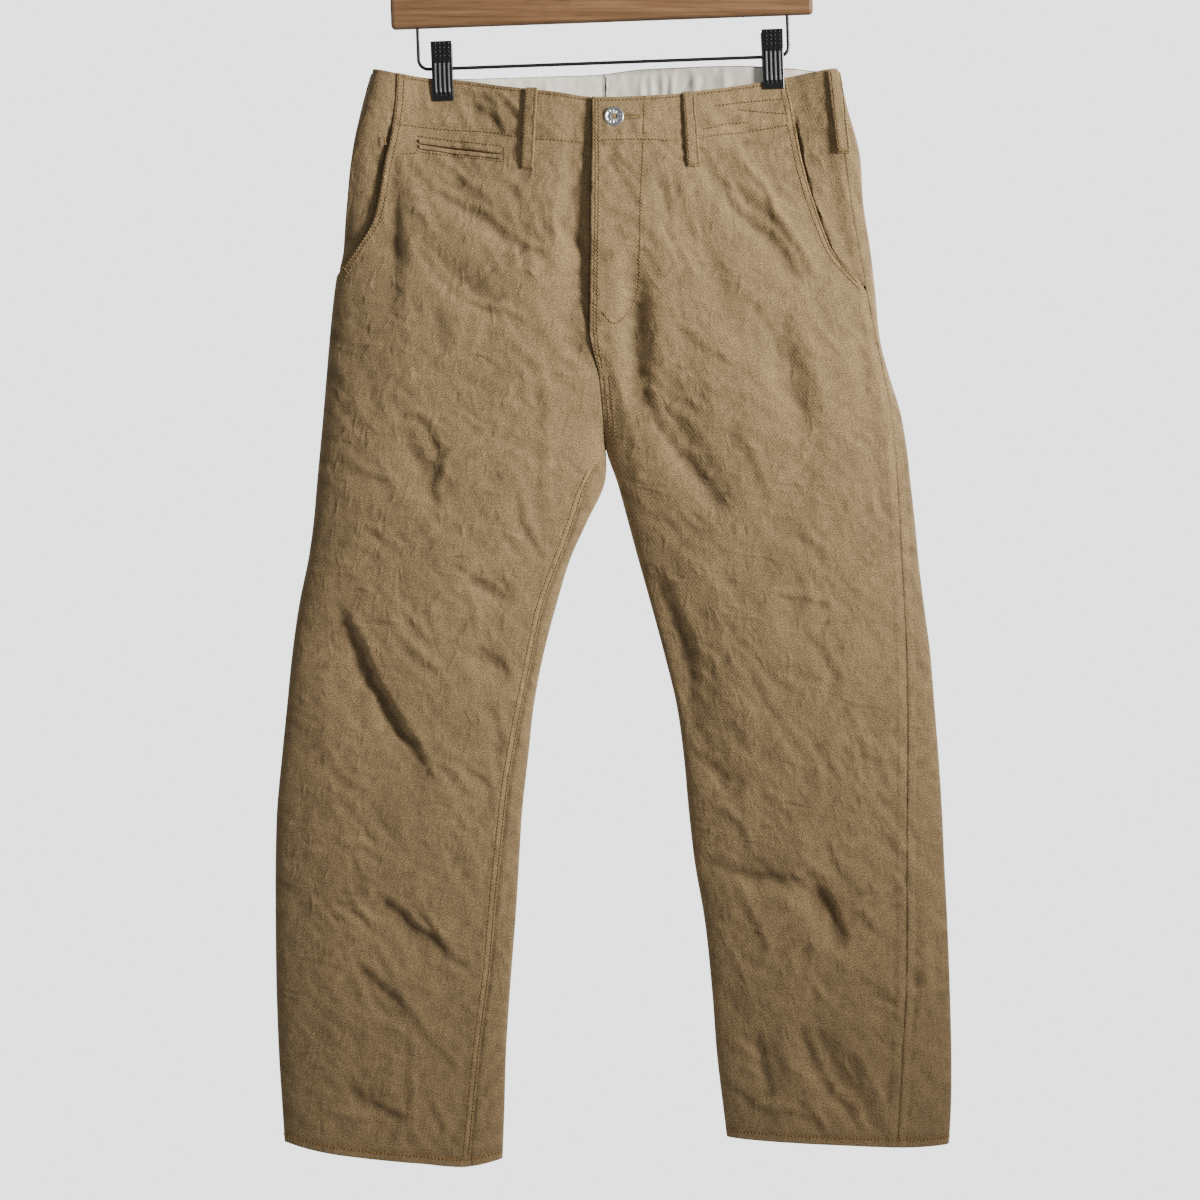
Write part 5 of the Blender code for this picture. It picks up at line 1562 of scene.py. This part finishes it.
def bend_wire(name, route, radius, material, sides=20):
    """A round wire along a route in the hanger's coordinates, with rounded ends."""
    curve = bpy.data.curves.new(name, "CURVE")
    curve.dimensions = "3D"
    curve.bevel_depth = radius * MM
    curve.bevel_resolution = sides // 4
    curve.use_fill_caps = True
    spline = curve.splines.new("POLY")
    spline.points.add(len(route) - 1)
    for point, place in zip(spline.points, tilt(route)):
        point.co = (*(place * MM), 1.0)
    mesh = settle_mesh(name, put_in_scene(name + "_curve", curve))
    mesh.shade_smooth()
    return finish_mesh(name, mesh, material)


def metal(name, colour, roughness):
    made, shader = new_finish(name, Metallic=1.0, Roughness=roughness)
    brushed = stretched_noise(made, on_object(made), (160, 160, 900), 3.0)
    tones = ((0.3, [0.8 * part for part in colour]), (0.7, [1.1 * part for part in colour]))
    connect(made, add_ramp(made, brushed, tones), shader, "Base Color")
    return made


PLATED_STEEL = metal("plated_steel", (0.62, 0.62, 0.63), 0.22)
middle = HOOK_THROAT + HOOK_RADIUS
centre = (0.0, HOOK_RADIUS - middle)
NECK_BEND = 9.0
foot = BAR_TOP + FERRULE_HEIGHT + 2 * CLEARANCE
lean = math.radians(-50)
neck = arc((middle * math.cos(lean) - NECK_BEND * math.cos(lean),
            centre[1] + (middle - NECK_BEND) * math.sin(lean)), NECK_BEND, -50, -90, 10)
route = arc(centre, middle, 195, -50, 72) + neck[1:-1]
last = route[-1]
route += [(last[0] * 0.45, 0.0, last[2] - 3.5), (1.0, 0.0, last[2] - 7.5),
          (0.0, 0.0, last[2] - 11.0), (0.0, 0.0, foot)]
hook = bend_wire("hook_wire", route, HOOK_RADIUS, PLATED_STEEL)
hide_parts("hanger_hook")
for node in ("hook_ferrule", "clip_pin_right", "clip_pin_left"):
    repaint(node, PLATED_STEEL)

black_coat, shader = new_finish("black_coated_wire", Base_Color=(0.012, 0.012, 0.013, 1.0),
                                Coat_Weight=0.3)
scuffs = stretched_noise(black_coat, on_object(black_coat), (300, 300, 300), 3.0)
connect(black_coat, add_ramp(black_coat, scuffs, ((0.3, 0.50), (0.7, 0.30))), shader, "Roughness")
corner = (WIRE_HALF_SPAN - WIRE_BEND, WIRE_BEND - WIRE_DROP)
right_end = [(WIRE_HALF_SPAN, 0.0, BAR_BOTTOM - CLEARANCE)] + arc(corner, WIRE_BEND, 0, -90, 12)
left_end = [(-x, y, z) for x, y, z in reversed(right_end)]
wire = bend_wire("clip_wire", right_end + left_end, WIRE_RADIUS, black_coat)
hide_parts("hanger_wire")


# ============================================================================= the clips
# Moulded black plastic jaws on a sprung pin.  The front of each has four rows of small
# raised squares for the thumb, and four rounded ribs below them.

CLIP_TOP = 131.5
CLIP_BOTTOM = 191.0
JAW_INNER = PINCH + 0.4  # the jaw's inner face, from the middle of the cloth
# The jaw's outer face, from its foot to the thumb pad
JAW_FACE = ((CLIP_BOTTOM, JAW_INNER + 2.2), (176.0, JAW_INNER + 3.2), (151.0, JAW_INNER + 3.6),
            (CLIP_TOP + 1.0, 9.6))

black_plastic, shader = new_finish("black_plastic", Base_Color=(0.011, 0.011, 0.012, 1.0),
                                   Coat_Weight=0.15, Coat_Roughness=0.25)
moulding = stretched_noise(black_plastic, on_object(black_plastic), (700, 700, 700), 2.0)
connect(black_plastic, add_ramp(black_plastic, moulding, ((0.3, 0.28), (0.7, 0.16))), shader,
        "Roughness")
connect(black_plastic, add_bump(black_plastic, moulding, 0.15, 0.0002), shader, "Normal")
# Its ribs' crests are a paler grey: a painted highlight
painted_highlight_plastic, shader = new_finish("painted_highlight_plastic", Base_Color=(0.19, 0.19, 0.2, 1.0),
                                    Roughness=0.34)


def jaw_depth(drop):
    drops = [row[0] for row in reversed(JAW_FACE)]
    depths = [row[1] for row in reversed(JAW_FACE)]
    return np.interp(drop, drops, depths)


BLOCK_ROWS, BLOCK_COLUMNS = 9, 7
Block = namedtuple("Block", "length width height")
RIB = Block(38.5, 2.5, 1.3)
SQUARE = Block(2.5, 2.7, 0.8)
RIB_TOP = 149.0
RIB_PITCH = 4.4
SQUARE_TOP = CLIP_TOP + 1.9
SQUARE_PITCH = 4.0


def raised_block(along, top, block, sign):
    """A pillow-shaped block on a jaw's face: points and faces."""
    rows, columns = BLOCK_ROWS, BLOCK_COLUMNS
    v = np.linspace(-1, 1, rows)[:, None]
    u = np.linspace(-1, 1, columns)[None, :]
    dome = np.clip((1 - np.abs(u) ** 4) * (1 - np.abs(v) ** 8), 0, 1) ** 0.5
    drop = top + block.length / 2 + v * block.length / 2 + 0 * u
    y = sign * (jaw_depth(drop) - 0.3 + (block.height + 0.3) * dome)
    points = np.stack([along + u * block.width / 2 + 0 * v, y, -drop], axis=-1)
    faces = grid_faces(rows, columns)
    under = points.copy()
    under[..., 1] = sign * (jaw_depth(drop) - 0.6)
    count = rows * columns
    border = [*range(columns), *range(2 * columns - 1, count, columns),
              *range(count - 2, count - columns - 1, -1),
              *range(count - 2 * columns, 0, -columns)]
    sides = [(a, b, b + count, a + count) for a, b in zip(border, border[1:] + border[:1])]
    back = [tuple(corner + count for corner in face[::-1]) for face in faces.tolist()]
    allfaces = [tuple(face) for face in faces.tolist()] + back + [side[::-1] for side in sides]
    if sign > 0:
        allfaces = [face[::-1] for face in allfaces]
    return np.concatenate([points.reshape(-1, 3), under.reshape(-1, 3)]), allfaces


for half, along in CLIP_ALONG.items():
    for face, sign in (("front", -1), ("back", 1)):
        parts = []
        for rib in range(4):
            at = along + (rib - 1.5) * RIB_PITCH
            parts.append(raised_block(at, RIB_TOP, RIB, sign))
            for row in range(4):
                parts.append(raised_block(at, SQUARE_TOP + row * SQUARE_PITCH, SQUARE, sign))
        tilted = [(tilt(points), faces) for points, faces in parts]
        grips = add_sewing("clip_grip_" + face + "_" + half, tilted, black_plastic)
        grips.data.materials.append(painted_highlight_plastic)
        # The ribs' crests take the paler plastic, a painted highlight
        crest = (BLOCK_ROWS - 1) * (BLOCK_COLUMNS - 1)
        block = len(parts[0][1])
        for polygon in grips.data.polygons:
            row, column = divmod(polygon.index % block, BLOCK_COLUMNS - 1)
            on_crest = polygon.index % block < crest and 1 <= row <= BLOCK_ROWS - 3
            on_rib = polygon.index // block % 5 == 0
            polygon.material_index = int(on_rib and on_crest and 1 <= column <= BLOCK_COLUMNS - 3)
        repaint("clip_" + face + "_jaw_" + half, black_plastic)


# ================================================================ floor, light and camera
# A plain pale floor below the hems, a large soft light from the upper right, a weak fill,
# and a camera level with the thighs.

FLOOR_DROP = 1.56
FLOOR_RADIUS = 0.95
VIEW_DISTANCE = 2.6
VIEW_WIDTH = 1.2
SENSOR = 36.0
VIEW_CENTRE = (0.002, -0.695)

bpy.ops.mesh.primitive_circle_add(vertices=128, radius=FLOOR_RADIUS, fill_type="NGON",
                                  location=(0.0, 0.0, -FLOOR_DROP))
floor = bpy.context.object
floor.name = "pale_floor"
paint, shader = new_finish("pale_floor", Base_Color=(0.78, 0.78, 0.77, 1.0), Roughness=0.8)
floor.data.materials.append(paint)


def add_light(name, place, aim, size, power, colour, spread=180):
    light = bpy.data.lights.new(name, "AREA")
    light.shape = "RECTANGLE"
    light.size, light.size_y = size
    light.energy = power
    light.color = colour
    light.spread = math.radians(spread)
    lamp = put_in_scene(name, light)
    lamp.location = place
    lamp.rotation_euler = (Vector(aim) - Vector(place)).to_track_quat("-Z", "Y").to_euler()


WARM_DAYLIGHT = (1.0, 0.98, 0.95)
add_light("key_window", (2.0, -1.45, 0.05), (-0.20, 0.0, -0.30), (0.5, 0.8), 11.1,
          WARM_DAYLIGHT, spread=55)
add_light("soft_fill", (-1.6, -2.2, 0.5), (0.0, 0.0, -0.5), (1.6, 1.6), 5.0, (0.93, 0.96, 1.0))
add_light("back_window", (1.7, 1.3, 0.2), (0.0, 0.0, -0.6), (0.7, 1.0), 45.0, WARM_DAYLIGHT)
add_light("back_fill", (-1.8, 1.9, 0.0), (0.0, 0.0, -0.6), (1.4, 1.4), 14.0, (0.95, 0.97, 1.0))

world = bpy.data.worlds.new("pale_studio")
world.use_nodes = True
sky = world.node_tree.nodes["Background"]
backdrop = world.node_tree.nodes.new("ShaderNodeBackground")
for background, strength in ((sky, 0.22), (backdrop, 2.6)):
    background.inputs["Color"].default_value = (0.95, 0.96, 0.97, 1.0)
    background.inputs["Strength"].default_value = strength
seen = world.node_tree.nodes.new("ShaderNodeLightPath")
either = world.node_tree.nodes.new("ShaderNodeMixShader")
for start, end in ((seen.outputs["Is Camera Ray"], either.inputs[0]),
                   (sky.outputs[0], either.inputs[1]), (backdrop.outputs[0], either.inputs[2]),
                   (either.outputs[0], world.node_tree.nodes["World Output"].inputs[0])):
    world.node_tree.links.new(start, end)
bpy.context.scene.world = world

lens = bpy.data.cameras.new("camera")
lens.sensor_width = SENSOR
lens.lens = SENSOR * VIEW_DISTANCE / VIEW_WIDTH
camera = put_in_scene("camera", lens)
camera.location = (VIEW_CENTRE[0], -VIEW_DISTANCE, VIEW_CENTRE[1])
camera.rotation_euler = (math.radians(90), 0.0, 0.0)
bpy.context.scene.camera = camera
